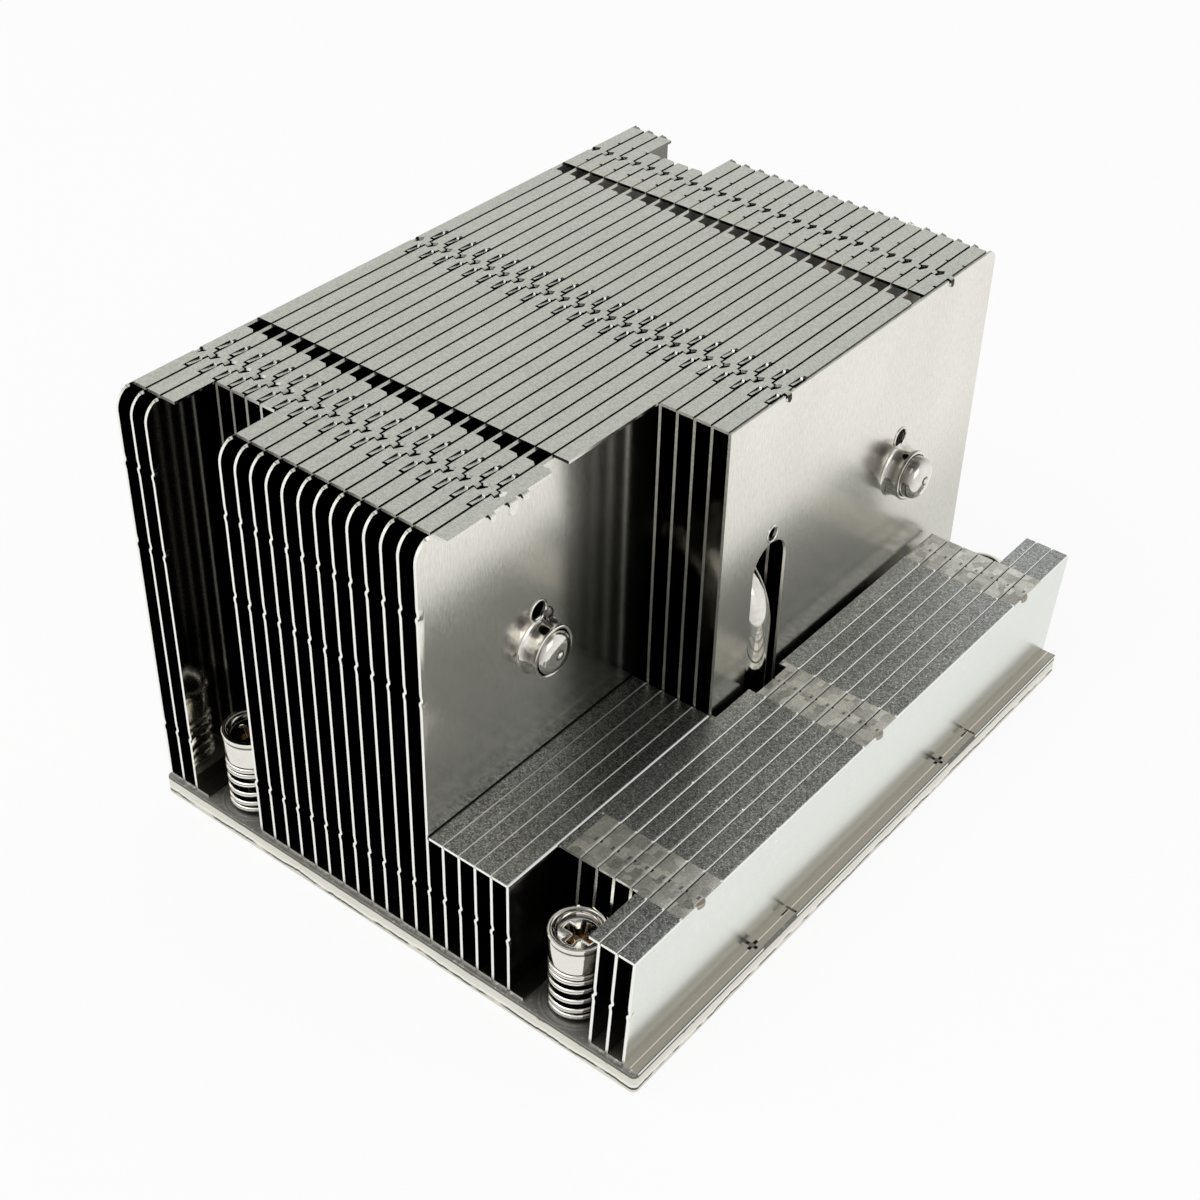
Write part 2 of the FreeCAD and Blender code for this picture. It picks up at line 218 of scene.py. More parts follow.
class Value:
    """A node's output socket that takes part in Python expressions."""

    def __init__(self, nodes, socket):
        self.nodes, self.socket = nodes, socket

    def maths(self, operation, *others):
        return self.nodes.node("ShaderNodeMath", {"operation": operation}, dict(enumerate((self,) + others)))

    def __add__(self, other):
        return self.maths("ADD", other)

    def __sub__(self, other):
        return self.maths("SUBTRACT", other)

    def __rsub__(self, other):
        return self.nodes.node("ShaderNodeMath", {"operation": "SUBTRACT"}, {0: other, 1: self})

    def __mul__(self, other):
        return self.maths("MULTIPLY", other)

    def __truediv__(self, other):
        return self.maths("DIVIDE", other)

    def __pow__(self, other):
        return self.maths("POWER", other)

    def __abs__(self):
        return self.maths("ABSOLUTE")

    __radd__ = __add__
    __rmul__ = __mul__

    def most(self, *others):
        value = self
        for other in others:
            value = value.maths("MAXIMUM", other)
        return value

    def rise(self, low, high):
        """0 below low, 1 above high, smooth between."""
        return self.nodes.node("ShaderNodeMapRange", {"interpolation_type": "SMOOTHSTEP"},
                               {0: self, 1: low, 2: high})

    def fall(self, low, high):
        return 1 - self.rise(low, high)

    def near(self, place, reach, soft):
        """1 within reach of place, fading over soft."""
        return abs(self - place).fall(reach, reach + soft)

    def near_any(self, places, reach, soft):
        first, *others = [self.near(place, reach, soft) for place in places]
        return first.most(*others)

    def stretch(self, x, y, z):
        """The vector with each part scaled."""
        return self.nodes.node("ShaderNodeVectorMath", {"operation": "MULTIPLY"}, {0: self, 1: (x, y, z)})

    def outputs(self, *names):
        """Outputs of the same node by name."""
        return [Value(self.nodes, self.socket.node.outputs[name]) for name in names]

    def parts(self):
        return self.nodes.node("ShaderNodeSeparateXYZ", inputs={0: self}).outputs("X", "Y", "Z")


class Nodes:
    """A node tree whose nodes are all added by one method."""

    def __init__(self, tree):
        self.tree = tree

    def node(self, kind, settings=None, inputs=None, output=0):
        made = self.tree.nodes.new(kind)
        for key, setting in (settings or {}).items():
            setattr(made, key, setting)
        self.feed(made, inputs or {})
        return Value(self, made.outputs[output]) if made.outputs else None

    def feed(self, node, inputs):
        """Links Values to a node's inputs and sets plain values on them."""
        for key, value in inputs.items():
            if isinstance(value, Value):
                self.tree.links.new(value.socket, node.inputs[key])
            else:
                node.inputs[key].default_value = value


class Finish(Nodes):
    """One procedural metal: a Principled shader and the nodes that feed it."""

    def __init__(self, name, metallic=1.0):
        self.material = bpy.data.materials.new(name)
        self.material.use_nodes = True
        super().__init__(self.material.node_tree)
        self.shader = self.tree.nodes["Principled BSDF"]
        self.feed(self.shader, {"Metallic": metallic})
        self.place = self.node("ShaderNodeTexCoord", output="Object").stretch(1 / MM, 1 / MM, 1 / MM)
        self.x, self.y, self.z = self.place.parts()
        self.normal = self.node("ShaderNodeNewGeometry", output="Normal")

    def noise(self, x, y, z, detail=2.0, rough=0.5):
        """Noise with that many cells to a millimetre along each axis."""
        return self.node("ShaderNodeTexNoise", inputs={
            "Vector": self.place.stretch(x, y, z), "Scale": 1.0, "Detail": detail, "Roughness": rough})

    def specks(self, cells, share):
        """Sharp bright grains: the given share of the cells, that many cells to a millimetre."""
        cell = self.node("ShaderNodeTexVoronoi", {"feature": "F1"},
                         {"Vector": self.place, "Scale": cells}, output="Color")
        return cell.parts()[0].rise(1 - share, 1.0)

    def tiles(self, x, y):
        """Random tone for each of the blocks of a plan, that many to a millimetre along X and Y."""
        cell = self.node("ShaderNodeTexVoronoi", {"feature": "F1", "distance": "CHEBYCHEV"}, {
            "Vector": self.place.stretch(x, y, 0.0), "Scale": 1.0, "Randomness": 0.7}, output="Color")
        return cell.parts()[0]

    def over(self, base, *layers):
        """The base with each layer's colour laid over it in turn, as far as its cover says."""
        for tone, cover in layers:
            low, high = [c if isinstance(c, Value) else (*c, 1.0) for c in (base, tone)]
            base = self.node("ShaderNodeMix", {"data_type": "RGBA"}, {0: cover, 6: low, 7: high}, output=2)
        return base

    def tint(self, base, strength):
        """The colour made lighter or darker by a number around 1."""
        return self.node("ShaderNodeVectorMath", {"operation": "SCALE"}, {0: base, "Scale": strength})

    def finish(self, base, roughness, height=None, depth=0.0):
        """Connects colour, roughness and relief (height in 0 to 1, depth in millimetres)."""
        self.feed(self.shader, {"Base Color": base, "Roughness": roughness})
        if height is not None:
            relief = {"Height": height, "Distance": depth * MM, "Strength": 1.0}
            self.feed(self.shader, {"Normal": self.node("ShaderNodeBump", inputs=relief)})
        return self.material


# ---------------------------------------------------------------- finishes


def brushed(metal):
    """Fine upright brushing, 0 to 1."""
    return metal.noise(4.5, 4.5, 0.9, detail=3.0, rough=0.7)


def satin_top(metal, cloud):
    """Satin tone of the tall fins' tops."""
    return metal.tint(finishes().flange, 0.80 + 0.26 * metal.specks(5.0, 1.0) + 0.16 * cloud)


def interlock_shade(metal):
    """1 where painted shade blackens the small openings round the interlocks on the tall fins' tops."""
    lane = ((metal.x - FINS_LEFT) / PITCH).maths("FRACT") * PITCH
    shade = lane.near(2.34, 0.17, 0.04) * metal.y.near(LOCK_ROWS[2] - 3.75, 0.2, 0.05)
    for row, last in zip(LOCK_ROWS, (20, 26)):
        ends = metal.y.near(row - 3.75, 0.2, 0.05).most(metal.y.near_any((row + 1.3, row + 4.1), 0.21, 0.05))
        ends = ends * metal.x.fall(web_x(last), web_x(last) + 0.02)
        shade = shade.most(lane.near(2.32, 0.2, 0.04) * ends)
    strip = metal.y.near_any((LOCK_ROWS[1] - 2.35, LOCK_ROWS[1] + 2.65), 1.15, 0.05)
    return shade.most(strip * (1 - lane.near(1.25, 1.07, 0.05)))


def blasted_top(metal, cloud):
    """Dark blasted tone of the low fins' tops, partly a painted dark reflection of the tall panels, with fine bright
    grains and a painted reflection lighter towards the rear.
    """
    grit = metal.specks(5.5, 1.0)
    sparkle = metal.specks(7.5, 0.12)
    # Painted reflection: lighter towards the rear
    far = metal.y.rise(FRONT + 55, FRONT + 100)
    strip = metal.x.near((web_x(25) + web_x(26)) / 2 + 0.9, 1.25, 0.2) * metal.y.rise(STEP_Y - 8, STEP_Y)
    shade = 0.28 + 0.95 * grit + 1.5 * sparkle + 0.50 * cloud + 0.40 * far + 0.30 * strip
    return metal.tint(finishes().dull, shade), grit


def sheet_metal(name, face, low_tops=False, satin=0.0):
    """Folded sheet: brushed webs, satin or blasted tops and bright cut edges, with painted shade darkening the feet,
    the gaps and the lower webs, and painted highlights and reflections.
    """
    metal, looks = Finish(name), finishes()
    x, y, z = metal.x, metal.y, metal.z
    nx, ny, nz = metal.normal.parts()
    flat, cut = abs(nz).rise(0.35, 0.8), abs(ny).rise(0.6, 0.9)
    streak = brushed(metal)
    cloud = metal.noise(0.12, 0.05, 0.04, detail=3.0)

    # Webs: painted shade below and inside, lighter towards the top; the outermost face bright in the panels' tone and
    # one strip brightened as a painted reflection
    web = metal.over(metal.tint(face, 0.62 + 0.46 * streak + 0.20 * cloud),
                     (looks.inner, z.fall(SHORT_Z - 1, SHORT_Z - 0.5) * y.fall(STEP_Y, STEP_Y + 1)))
    web = metal.tint(web, 0.74 + 0.26 * z.rise(SHORT_Z + 2, SHORT_Z + 24))
    # Painted reflection: a bright strip low on the third fin's right face
    painted_reflection = x.near(web_x(3) + SHEET, 0.08, 0.05) * z.fall(14, 26)
    outside = x.fall(web_x(1) + 0.02, web_x(1) + 0.1)
    web = metal.over(web, (looks.web, painted_reflection), (looks.web, outside))

    # Flanges: satin at the top with painted shade in the interlocks' openings, blasted on the low part, painted shade
    # at the foot
    top = metal.over(satin_top(metal, cloud), ((0.015, 0.015, 0.013), interlock_shade(metal)))
    if low_tops:
        low = z.fall(SHORT_Z + 2, SHORT_Z + 3)
        top = metal.over(top, (blasted_top(metal, cloud)[0], low))
    foot = tuple(c * 0.35 for c in looks.inner)
    top = metal.over(foot, (top, z.rise(FOOT_Z + 1.0, FOOT_Z + 1.5)))

    # Cut edges: bright, darker grey at the step, painted black where a notch's wall lies in shade
    step_edge = y.near(STEP_Y, 0.4, 0.1) * x.rise(web_x(21) - 0.5, web_x(21) - 0.4) * z.rise(SHORT_Z, SHORT_Z + 0.5)
    hole = z.rise(TALL_Z - 0.6, TALL_Z - 0.5) * abs(ny).rise(0.9, 0.95)
    hole = hole * y.rise(FRONT + 9.2, FRONT + 9.25) * y.fall(FRONT + 94.0, FRONT + 94.1)
    edge = metal.over(CUT_EDGE, (metal.tint((0.40, 0.40, 0.375), 0.5 + metal.noise(3.0, 3.0, 3.0)), step_edge),
                      (BLACK, hole * (1 - y.near(STEP_Y, 0.1, 0.05))))
    base = metal.over(web, (top, flat), (edge, cut))
    if low_tops:
        # Painted highlight along the bends of the low tops
        bend_highlight = nx.rise(0.10, 0.35) * nx.fall(0.8, 0.97) * low
        base = metal.over(base, ((0.72, 0.73, 0.71), bend_highlight * z.rise(SHORT_Z - 1, SHORT_Z - 0.7)))

    # Painted shade: black in the gaps under the tall flanges and at the foot of the front panel
    level = y.rise(FRONT + 3.4, FRONT + 3.5) * y.fall(REAR - 2.5, REAR - 2.4)
    deep = flat * level * z.near(TALL_Z - 1.4, 0.9, 0.05)
    if not satin:
        upright = z.near(TALL_Z - 1.3, 1.3, 0.05) * (1 - flat) * (1 - cut)
        deep = deep.most(upright * y.near_any(LOCK_ROWS, 4.1, 0.05) * (1 - outside))
    seam = z.near(SHORT_Z - 0.1, 0.38, 0.08) * x.near(PANEL_X["front"] + SHEET, 0.06, 0.03)
    deep = deep.most(seam * y.fall(STEP_Y - 0.1, STEP_Y))

    # Light that falls through the rear slot onto the webs
    lit = y.near(SLOTS[1][1] + 0.35, 2.6, 0.3) * z.rise(TALL_Z - 7, TALL_Z - 5) * nx.rise(0.5, 0.8)
    lit = lit * x.fall(web_x(24) + 1, web_x(24) + 1.1)
    # Uneven strength of the painted light
    blotch = metal.noise(0.3, 0.1, 0.1, detail=0.0).rise(0.36, 0.56)
    base = metal.over(base, (BLACK, deep), (metal.tint((1.25, 1.16, 0.96), 0.55 + 0.45 * blotch), lit))
    rough = 0.05 + satin + 0.10 * streak + (0.24 - satin) * flat + 0.2 * cut
    return metal.finish(base, rough + 0.3 * lit, streak, 0.0015)


def low_metal():
    """Blasted, sparkling tops with pressed patches and painted highlights on the bends, a pale outer panel and webs in
    painted shade.
    """
    metal, looks = Finish("plated_low_fins"), finishes()
    x, y, z = metal.x, metal.y, metal.z
    nx, ny, nz = metal.normal.parts()
    up, cut = nz.rise(0.75, 0.97), abs(ny).rise(0.6, 0.9)
    high = z.rise(SHORT_Z - 1.2, SHORT_Z - 0.8)
    streak = brushed(metal)
    cloud = metal.noise(0.07, 0.05, 0.05, detail=2.0)
    dull, grit = blasted_top(metal, cloud)
    first, middle, last = LOW_LOCK_ROWS

    patch = y.near(first, 3.95, 0.12).most(y.near_any((middle, last), 3.8, 0.12))
    patch = patch * x.rise(web_x(26) - 1.1, web_x(26) - 1.0)
    front_half = y.near_any([row - 2.0 for row in LOW_LOCK_ROWS], 1.9, 0.1)
    pressed_tone = 0.62 + 0.72 * metal.tiles(0.75, 0.62) + 0.24 * grit - 0.14 * front_half
    lane = ((x - web_x(26) - LEAN - 0.12) / PITCH).maths("FRACT")
    line = lane.fall(0.02, 0.08) + lane.rise(0.92, 0.98)
    dot = y.near_any((first - 4.05, first + 3.9, FRONT + 28.2, middle - 3.9, middle + 3.9, last - 3.8), 0.13, 0.08)
    mark = y.near_any(LOW_LOCK_ROWS, 0.25, 0.1)
    # Painted highlights: white dots on the bend lines; painted shade: dark marks in the middle of each lock
    top = metal.over(dull, (metal.tint(looks.patch, pressed_tone), patch * 0.85),
                     ((0.95, 0.95, 0.92), dot * line),
                     ((0.13, 0.125, 0.11), mark * lane.near(0.82, 0.05, 0.04) * 0.8))

    scratch = metal.noise(0.05, 0.22, 0.9, detail=0.0).near(0.5, 0.0015, 0.002)
    panel = metal.tint(looks.panel, 0.94 + 0.05 * grit + 0.07 * cloud + 0.12 * scratch)
    outer = x.rise(SIDE_X - 0.12, SIDE_X - 0.06) * nx.rise(0.5, 0.8)
    # Painted highlight along the bends, weaker on the pressed patches
    bend_highlight = nx.rise(0.15, 0.45) * nx.fall(0.8, 0.97) * high * (1 - 0.75 * patch)
    web = metal.over(metal.tint(looks.inner, 0.62 + 0.4 * streak), (panel, outer), ((0.88, 0.88, 0.85), bend_highlight))
    edge = metal.over(CUT_EDGE, ((0.66, 0.66, 0.63), y.near(CUT_FRONT, 0.4, 0.1)))

    across = x - web_x(32) - SHEET
    gutter = across.rise(PITCH - SHEET - 0.22, PITCH - SHEET - 0.15)
    foot = metal.over(metal.tint((0.42, 0.39, 0.335), 0.8 + 0.4 * streak),
                      ((0.90, 0.88, 0.82), across.near(0.85, 0.05, 0.06) * 0.7),
                      ((0.10, 0.09, 0.08), gutter * 0.8))
    # Painted shade: black bars over the small cuts in the side panel's foot
    for place in FOOT_CROSSES:
        # Each bar: how far behind the place, half its length along Y, its middle and half its width along X
        bars = [y.near(place + behind, along, 0.05) * across.near(centre, wide, 0.05)
                for behind, along, centre, wide in ((0.0, 0.25, 0.75, 0.75), (0.1, 0.95, 0.75, 0.2),
                                                    (8.3, 0.15, 1.0, 0.8), (7.4, 0.8, 0.7, 0.1))]
        foot = metal.over(foot, ((0.012, 0.012, 0.01), bars[0].most(*bars[1:])))
    base = metal.over(web, (top, up * high), (edge, cut), (foot, up * (1 - high)))
    return metal.finish(base, 0.22 + 0.06 * streak + 0.18 * up, streak, 0.001)


def tab_metal():
    """Dull taupe of the three pressed tabs on the side panel's top edge."""
    metal = Finish("pressed_tabs")
    return metal.finish(metal.tint((0.36, 0.33, 0.28), 0.7 + 0.6 * metal.noise(2.0, 2.0, 2.0)), 0.45)


def plate_metal():
    """Worn light sides with wavy pale and dark lines and painted shade along their top edge, a speckled dark top and a
    faint ring round each spring.
    """
    metal, looks = Finish("plated_base"), finishes()
    top = metal.normal.parts()[2].rise(0.6, 0.95) * metal.z.rise(2.8, 2.9)
    grit = metal.noise(4.0, 4.0, 4.0, detail=3.0, rough=0.7)
    cloud = metal.noise(0.15, 0.15, 0.5, detail=4.0, rough=0.6)
    scuff = metal.noise(0.5, 0.5, 2.5, detail=4.0, rough=0.7).rise(0.55, 0.75)
    wave = metal.z + 1.5 * metal.noise(0.16, 0.16, 0.0, detail=4.0, rough=0.7)
    broken = metal.noise(0.25, 0.25, 0.0, detail=2.0).rise(0.35, 0.5)
    # Sides: worn tone, wavy pale and dark lines, and painted shade along the top edge
    side = metal.over(metal.tint(looks.plate, 0.84 + 0.25 * cloud + 0.16 * grit - 0.14 * scuff),
                      ((0.95, 0.94, 0.88), wave.near(1.95, 0.22, 0.12) * 0.6),
                      ((0.03, 0.028, 0.022), wave.near(1.58, 0.13, 0.10) * broken),
                      ((0.05, 0.048, 0.04), (metal.z + 0.35 * scuff).rise(2.60, 2.72) * 0.85))
    dark = metal.tint(looks.plate_top, 0.6 + 0.9 * grit + 0.8 * metal.specks(3.5, 0.12))
    for x, y in SCREWS.values():
        out = ((metal.x - x) * (metal.x - x) + (metal.y - y) * (metal.y - y)) ** 0.5
        ring = out.near(4.75, 0.05, 0.15) * 0.4 + out.near(4.1, 0.2, 0.2) * 0.35
        dark = metal.over(dark, ((0.48, 0.47, 0.44), ring))
    return metal.finish(metal.over(side, (dark, top)), 0.26 + 0.15 * grit + 0.12 * top, grit, 0.012)


def nickel(metal, fleck):
    """Bright plating with fine turning marks and faint stains."""
    fine = metal.noise(1.2, 1.2, 7.0, detail=3.0)
    blotch = metal.noise(0.5, 0.5, 0.5, detail=4.0, rough=0.65).rise(0.45, 0.8)
    base = metal.tint(finishes().nickel, 0.92 + 0.16 * fine)
    return metal.over(base, ((0.42, 0.37, 0.30), blotch * fleck)), fine


def nearest_screw(metal):
    """Distance to the axis of the nearest screw, in millimetres."""
    across = (abs(metal.x) - SCREW_X) * (abs(metal.x) - SCREW_X)
    middle = (SCREWS["front_left"][1] + SCREWS["rear_left"][1]) / 2
    along = abs(metal.y - middle) - (SCREWS["rear_left"][1] - middle)
    return (across + along * along) ** 0.5


def pipe_metal(name):
    """Plated pipes and collars: polished, with dark blotches on their upper sides as painted reflections, a dark patch
    over the front solder bead and a dark ring on each tip's end.
    """
    metal = Finish(name)
    base, fine = nickel(metal, 0.3)
    nx, ny, nz = metal.normal.parts()
    # Painted reflections: dark blotches on the faces that look up and sideways
    dark_reflection_blotch = metal.noise(0.30, 0.45, 0.45, detail=2.0).rise(0.32, 0.50)
    base = metal.over(base, ((0.07, 0.06, 0.05), dark_reflection_blotch * (1 - abs(nx)) * nz.rise(-0.35, 0.25) * 0.9))
    up = metal.z - PIPE_Z
    for end, face in PANEL_X.items():
        aside = metal.y - PIPE_Y[end]
        out = (aside * aside + up * up) ** 0.5
        nub = out.near(0.62, 0.07, 0.08) * metal.x.rise(face + SHEET + 2.5, face + SHEET + 2.6)
        base = metal.over(base, ((0.10, 0.09, 0.08), nub * 0.8))
    bead = metal.y.near(PIPE_Y["front"] + 1.75, 0.95, 0.1) * metal.z.near(PIPE_Z + 4.0, 0.5, 0.1)
    face = PANEL_X["front"] + SHEET
    base = metal.over(base, ((0.10, 0.095, 0.09), bead * metal.x.rise(face, face + 0.1)))
    return metal.finish(base, 0.07 + 0.05 * fine, fine, 0.002)


def screw_metal():
    """Turned nickel with painted shade in the corners of the cup, under the rim, in the cross recess and round the
    shank, a painted dark reflection ring at the cup's edge and a painted warm glint deep in the recess.
    """
    metal = Finish("plated_screws")
    base, fine = nickel(metal, 0.2)
    out, z, top = nearest_screw(metal), metal.z, SCREW_TOP
    # Painted shade in the cup's corner and under the rim; a painted dark reflection ring at the cup's edge
    cup_foot = out.near(2.72, 0.14, 0.12) * z.near(top - 0.8, 0.3, 0.2)
    cup_ring = out.near(3.12, 0.05, 0.08) * z.rise(top - 0.5, top - 0.3)
    below_rim = z.near(top - 0.82, 0.12, 0.1) * out.rise(3.4, 3.5)
    # Painted shade in the cross recess, warm brown, with a painted warm glint deep down
    inside_head = z.rise(SEAT_Z + 0.5, SEAT_Z + 0.7) * out.fall(2.6, 2.8)
    glow = z.fall(top - 2.3, top - 2.0) * inside_head * metal.noise(0.8, 0.8, 0.8).rise(0.4, 0.6)
    # Painted shade also turns everything below the seat black, round the shank
    base = metal.over(base, ((0.08, 0.075, 0.07), cup_foot.most(cup_ring, below_rim) * 0.85),
                      ((0.20, 0.165, 0.13), z.fall(top - 1.35, top - 1.0) * inside_head * 0.75),
                      ((0.85, 0.50, 0.22), glow * 0.7),
                      ((0.04, 0.04, 0.038), z.fall(SEAT_Z - 0.02, SEAT_Z)))
    return metal.finish(base, 0.06 + 0.05 * fine, fine, 0.002)


def spring_metal(mean):
    """Drawn wire, bright on its outer top, with painted shade below and inside the coils and a painted dark reflection
    band on its upper slope.
    """
    metal = Finish("spring_wire")
    base, fine = nickel(metal, 0.2)
    nz = metal.normal.parts()[2]
    outer = nearest_screw(metal).rise(mean - 0.02, mean + 0.18)
    base = metal.over((0.035, 0.035, 0.035), (base, outer * nz.rise(-0.65, -0.2)),
                      ((0.10, 0.09, 0.085), nz.near(0.42, 0.07, 0.08) * 0.8))
    return metal.finish(base, 0.07 + 0.05 * fine, fine, 0.002)


# ---------------------------------------------------------------- meshes


def swing(turn, steps, first=0):
    """Cosine and sine at equal steps of a turn."""
    angles = [turn * i / steps for i in range(first, steps + 1)]
    return [(math.cos(angle), math.sin(angle)) for angle in angles]


def ring(x, y, radius, steps, other=None):
    """Points of a circle, or of an ellipse if the radius along Y is another one."""
    other = radius if other is None else other
    return [(x + radius * c, y + other * s) for c, s in swing(2 * math.pi, steps)[:-1]]


class Fold:
    """Section of a folded sheet with two bends: straight runs between corner points, joined by round bends."""

    def __init__(self, corners, radius, bend_steps=4):
        self.spans, self.marks, self.starts = [], [], []
        self.radius = radius
        points = [Vector(p) for p in corners]
        here, flat = points[0], 0.0
        for index in range(len(points) - 1):
            heading = (points[index + 1] - points[index]).normalized()
            end = points[index + 1]
            turn = cut = 0.0
            if index + 2 < len(points):
                after = (points[index + 2] - end).normalized()
                turn = heading.angle_signed(after)
                cut = radius * math.tan(abs(turn) / 2)
            run = (end - here).length - cut
            self.starts.append(flat - (here - points[index]).length)
            self.spans.append((flat, here.copy(), heading, 0.0))
            flat += run
            if turn:
                here = end - heading * cut
                bend = radius * abs(turn)
                self.spans.append((flat, here.copy(), heading, turn))
                self.marks += [flat - 0.12, flat + bend + 0.12]
                self.marks += [flat + bend * step / bend_steps for step in range(bend_steps + 1)]
                flat += bend
                here = end + after * cut
        self.web_start, self.bend_start, self.bend_end = [span[0] for span in self.spans[2:]]

    def on(self, run, distance):
        """Flat distance of a point on a run, measured from the run's first corner."""
        return self.starts[run] + distance

    def up(self, z):
        """Flat distance of a height on the web."""
        return self.on(1, z - FOOT_Z)

    def __call__(self, flat):
        """Place and normal at a distance along the flat sheet."""
        span = self.spans[0]
        for candidate in self.spans:
            if flat >= candidate[0] - 1e-6:
                span = candidate
        start, here, heading, turn = span
        along = flat - start
        side = Vector((heading.y, -heading.x))
        if not turn:
            return here + heading * along, side
        sign = 1 if turn > 0 else -1
        centre = here + side * sign * self.radius
        angle = along / self.radius
        out = -side * sign
        direction = out * math.cos(angle) + heading * math.sin(angle)
        return centre + direction * self.radius, -direction * sign


def inside(point, loops):
    """Even-odd test against all outlines."""
    x, y = point
    odd = False
    for loop in loops:
        for (x0, y0), (x1, y1) in zip(loop, loop[1:] + loop[:1]):
            if (y0 > y) != (y1 > y) and x < x0 + (y - y0) * (x1 - x0) / (y1 - y0):
                odd = not odd
    return odd


def triangulate(loops, lines=()):
    """Triangles that fill the first loop less the others, split along the extra lines."""
    points, edges = [], []
    for loop in loops:
        first = len(points)
        points += loop
        edges += [(first + i, first + (i + 1) % len(loop)) for i in range(len(loop))]
    for line in lines:
        edges.append((len(points), len(points) + 1))
        points += line
    verts, _, faces, _, _, _ = delaunay_2d_cdt([Vector(p) for p in points], edges, [], 0, 1e-4)
    kept = [face for face in faces if inside(sum((verts[i] for i in face), Vector((0, 0))) / 3, loops)]
    used = sorted({i for face in kept for i in face})
    renumber = {old: new for new, old in enumerate(used)}
    return [verts[i] for i in used], [tuple(renumber[i] for i in face) for face in kept]


def mesh_from(name, verts, faces, angle=35.0):
    mesh = bpy.data.meshes.new(name)
    mesh.from_pydata([tuple(c * MM for c in v) for v in verts], [], faces)
    mesh.validate()
    mesh.shade_smooth()
    mesh.set_sharp_from_angle(angle=math.radians(angle))
    return mesh


def sheet_mesh(name, loops, lines, place):
    """Closed sheet: both faces of the flat pattern put in place, and walls along its edges.
    place gives the middle point and the normal, in millimetres, of a point of the pattern."""
    flat, faces = triangulate(loops, lines)
    count = len(flat)
    middle = [place(s, y) for s, y in flat]
    verts = [point + normal * side for side in (HALF, -HALF) for point, normal in middle]
    outer = {}
    for a, b, c in faces:
        for edge in ((a, b), (b, c), (c, a)):
            outer[edge] = edge[::-1] not in outer
            if not outer[edge]:
                outer[edge[::-1]] = False
    solid = list(faces) + [(c + count, b + count, a + count) for a, b, c in faces]
    solid += [(b, a, a + count, b + count) for (a, b), edge in outer.items() if edge]
    a, b, c = faces[0]
    if (verts[b] - verts[a]).cross(verts[c] - verts[a]).dot(middle[a][1]) < 0:
        solid = [face[::-1] for face in solid]
    return mesh_from(name, verts, solid)


def lathe(profile, steps=48, closed=False):
    """Turned shape about Z from (radius, z) pairs, with poles where the radius is 0."""
    verts, faces, rows = [], [], []
    for radius, z in profile:
        if radius < 1e-6:
            rows.append([len(verts)] * steps)
            verts.append(Vector((0.0, 0.0, z)))
        else:
            rows.append(list(range(len(verts), len(verts) + steps)))
            verts += [Vector((x, y, z)) for x, y in ring(0.0, 0.0, radius, steps)]
    for low, high in list(zip(rows, rows[1:])) + ([(rows[-1], rows[0])] if closed else []):
        for i in range(steps):
            j = (i + 1) % steps
            faces.append(tuple(dict.fromkeys((low[i], low[j], high[j], high[i]))))
    return verts, faces


def ring_rows(verts, faces, outlines):
    """Walls between equal outlines given as (points, z): they face out if the outlines go upwards."""
    rows = []
    for points, z in outlines:
        rows.append(list(range(len(verts), len(verts) + len(points))))
        verts += [Vector((x, y, z)) for x, y in points]
    for low, high in zip(rows, rows[1:]):
        for i in range(len(low)):
            j = (i + 1) % len(low)
            faces.append((low[i], low[j], high[j], high[i]))
    return rows


def cap(verts, faces, loops, z, upward):
    """Flat face bounded by loops that already have vertices at that height."""
    known = {(round(v.x, 3), round(v.y, 3)): i for i, v in enumerate(verts) if abs(v.z - z) < 1e-6}
    flat, fill = triangulate(loops)
    index = [known[(round(p.x, 3), round(p.y, 3))] for p in flat]
    for a, b, c in fill:
        face = (index[a], index[b], index[c])
        area = (flat[b] - flat[a]).cross(flat[c] - flat[a])
        faces.append(face if (area > 0) == upward else face[::-1])


def line_mesh(name, points, shares):
    """A line of points with a thickness share at each, for the tube tree."""
    mesh = bpy.data.meshes.new(name)
    mesh.from_pydata([tuple(c * MM for c in p) for p in points], [(i, i + 1) for i in range(len(points) - 1)], [])
    attribute = mesh.attributes.new("share", "FLOAT", "POINT")
    attribute.data.foreach_set("value", shares)
    return mesh


# ---------------------------------------------------------------- geometry nodes


def row_shape(nodes, given):
    """Repeats one piece in a straight row."""
    piece, count, start, step = given.outputs("Geometry", "Count", "Start", "Step")
    line = nodes.node("GeometryNodeMeshLine", {"mode": "OFFSET"},
                      {"Count": count, "Start Location": start, "Offset": step})
    return nodes.node("GeometryNodeInstanceOnPoints", inputs={"Points": line, "Instance": piece})


def tube_shape(nodes, given):
    """Sweeps a round section along a line of points, thicker or thinner by their share."""
    path, radius, sides = given.outputs("Geometry", "Radius", "Sides")
    share = nodes.node("GeometryNodeInputNamedAttribute", {"data_type": "FLOAT"}, {"Name": "share"})
    curve = nodes.node("GeometryNodeMeshToCurve", inputs={0: path})
    sized = nodes.node("GeometryNodeSetCurveRadius", inputs={"Curve": curve, "Radius": share})
    section = nodes.node("GeometryNodeCurvePrimitiveCircle", inputs={"Resolution": sides, "Radius": radius})
    return nodes.node("GeometryNodeCurveToMesh", inputs={
        "Curve": sized, "Profile Curve": section, "Fill Caps": True, "Scale": share})


TREES = {
    "row_of_pieces": (row_shape, {"Count": "Int", "Start": "Vector", "Step": "Vector"}),
    "round_tube": (tube_shape, {"Radius": "Float", "Sides": "Int"}),
}


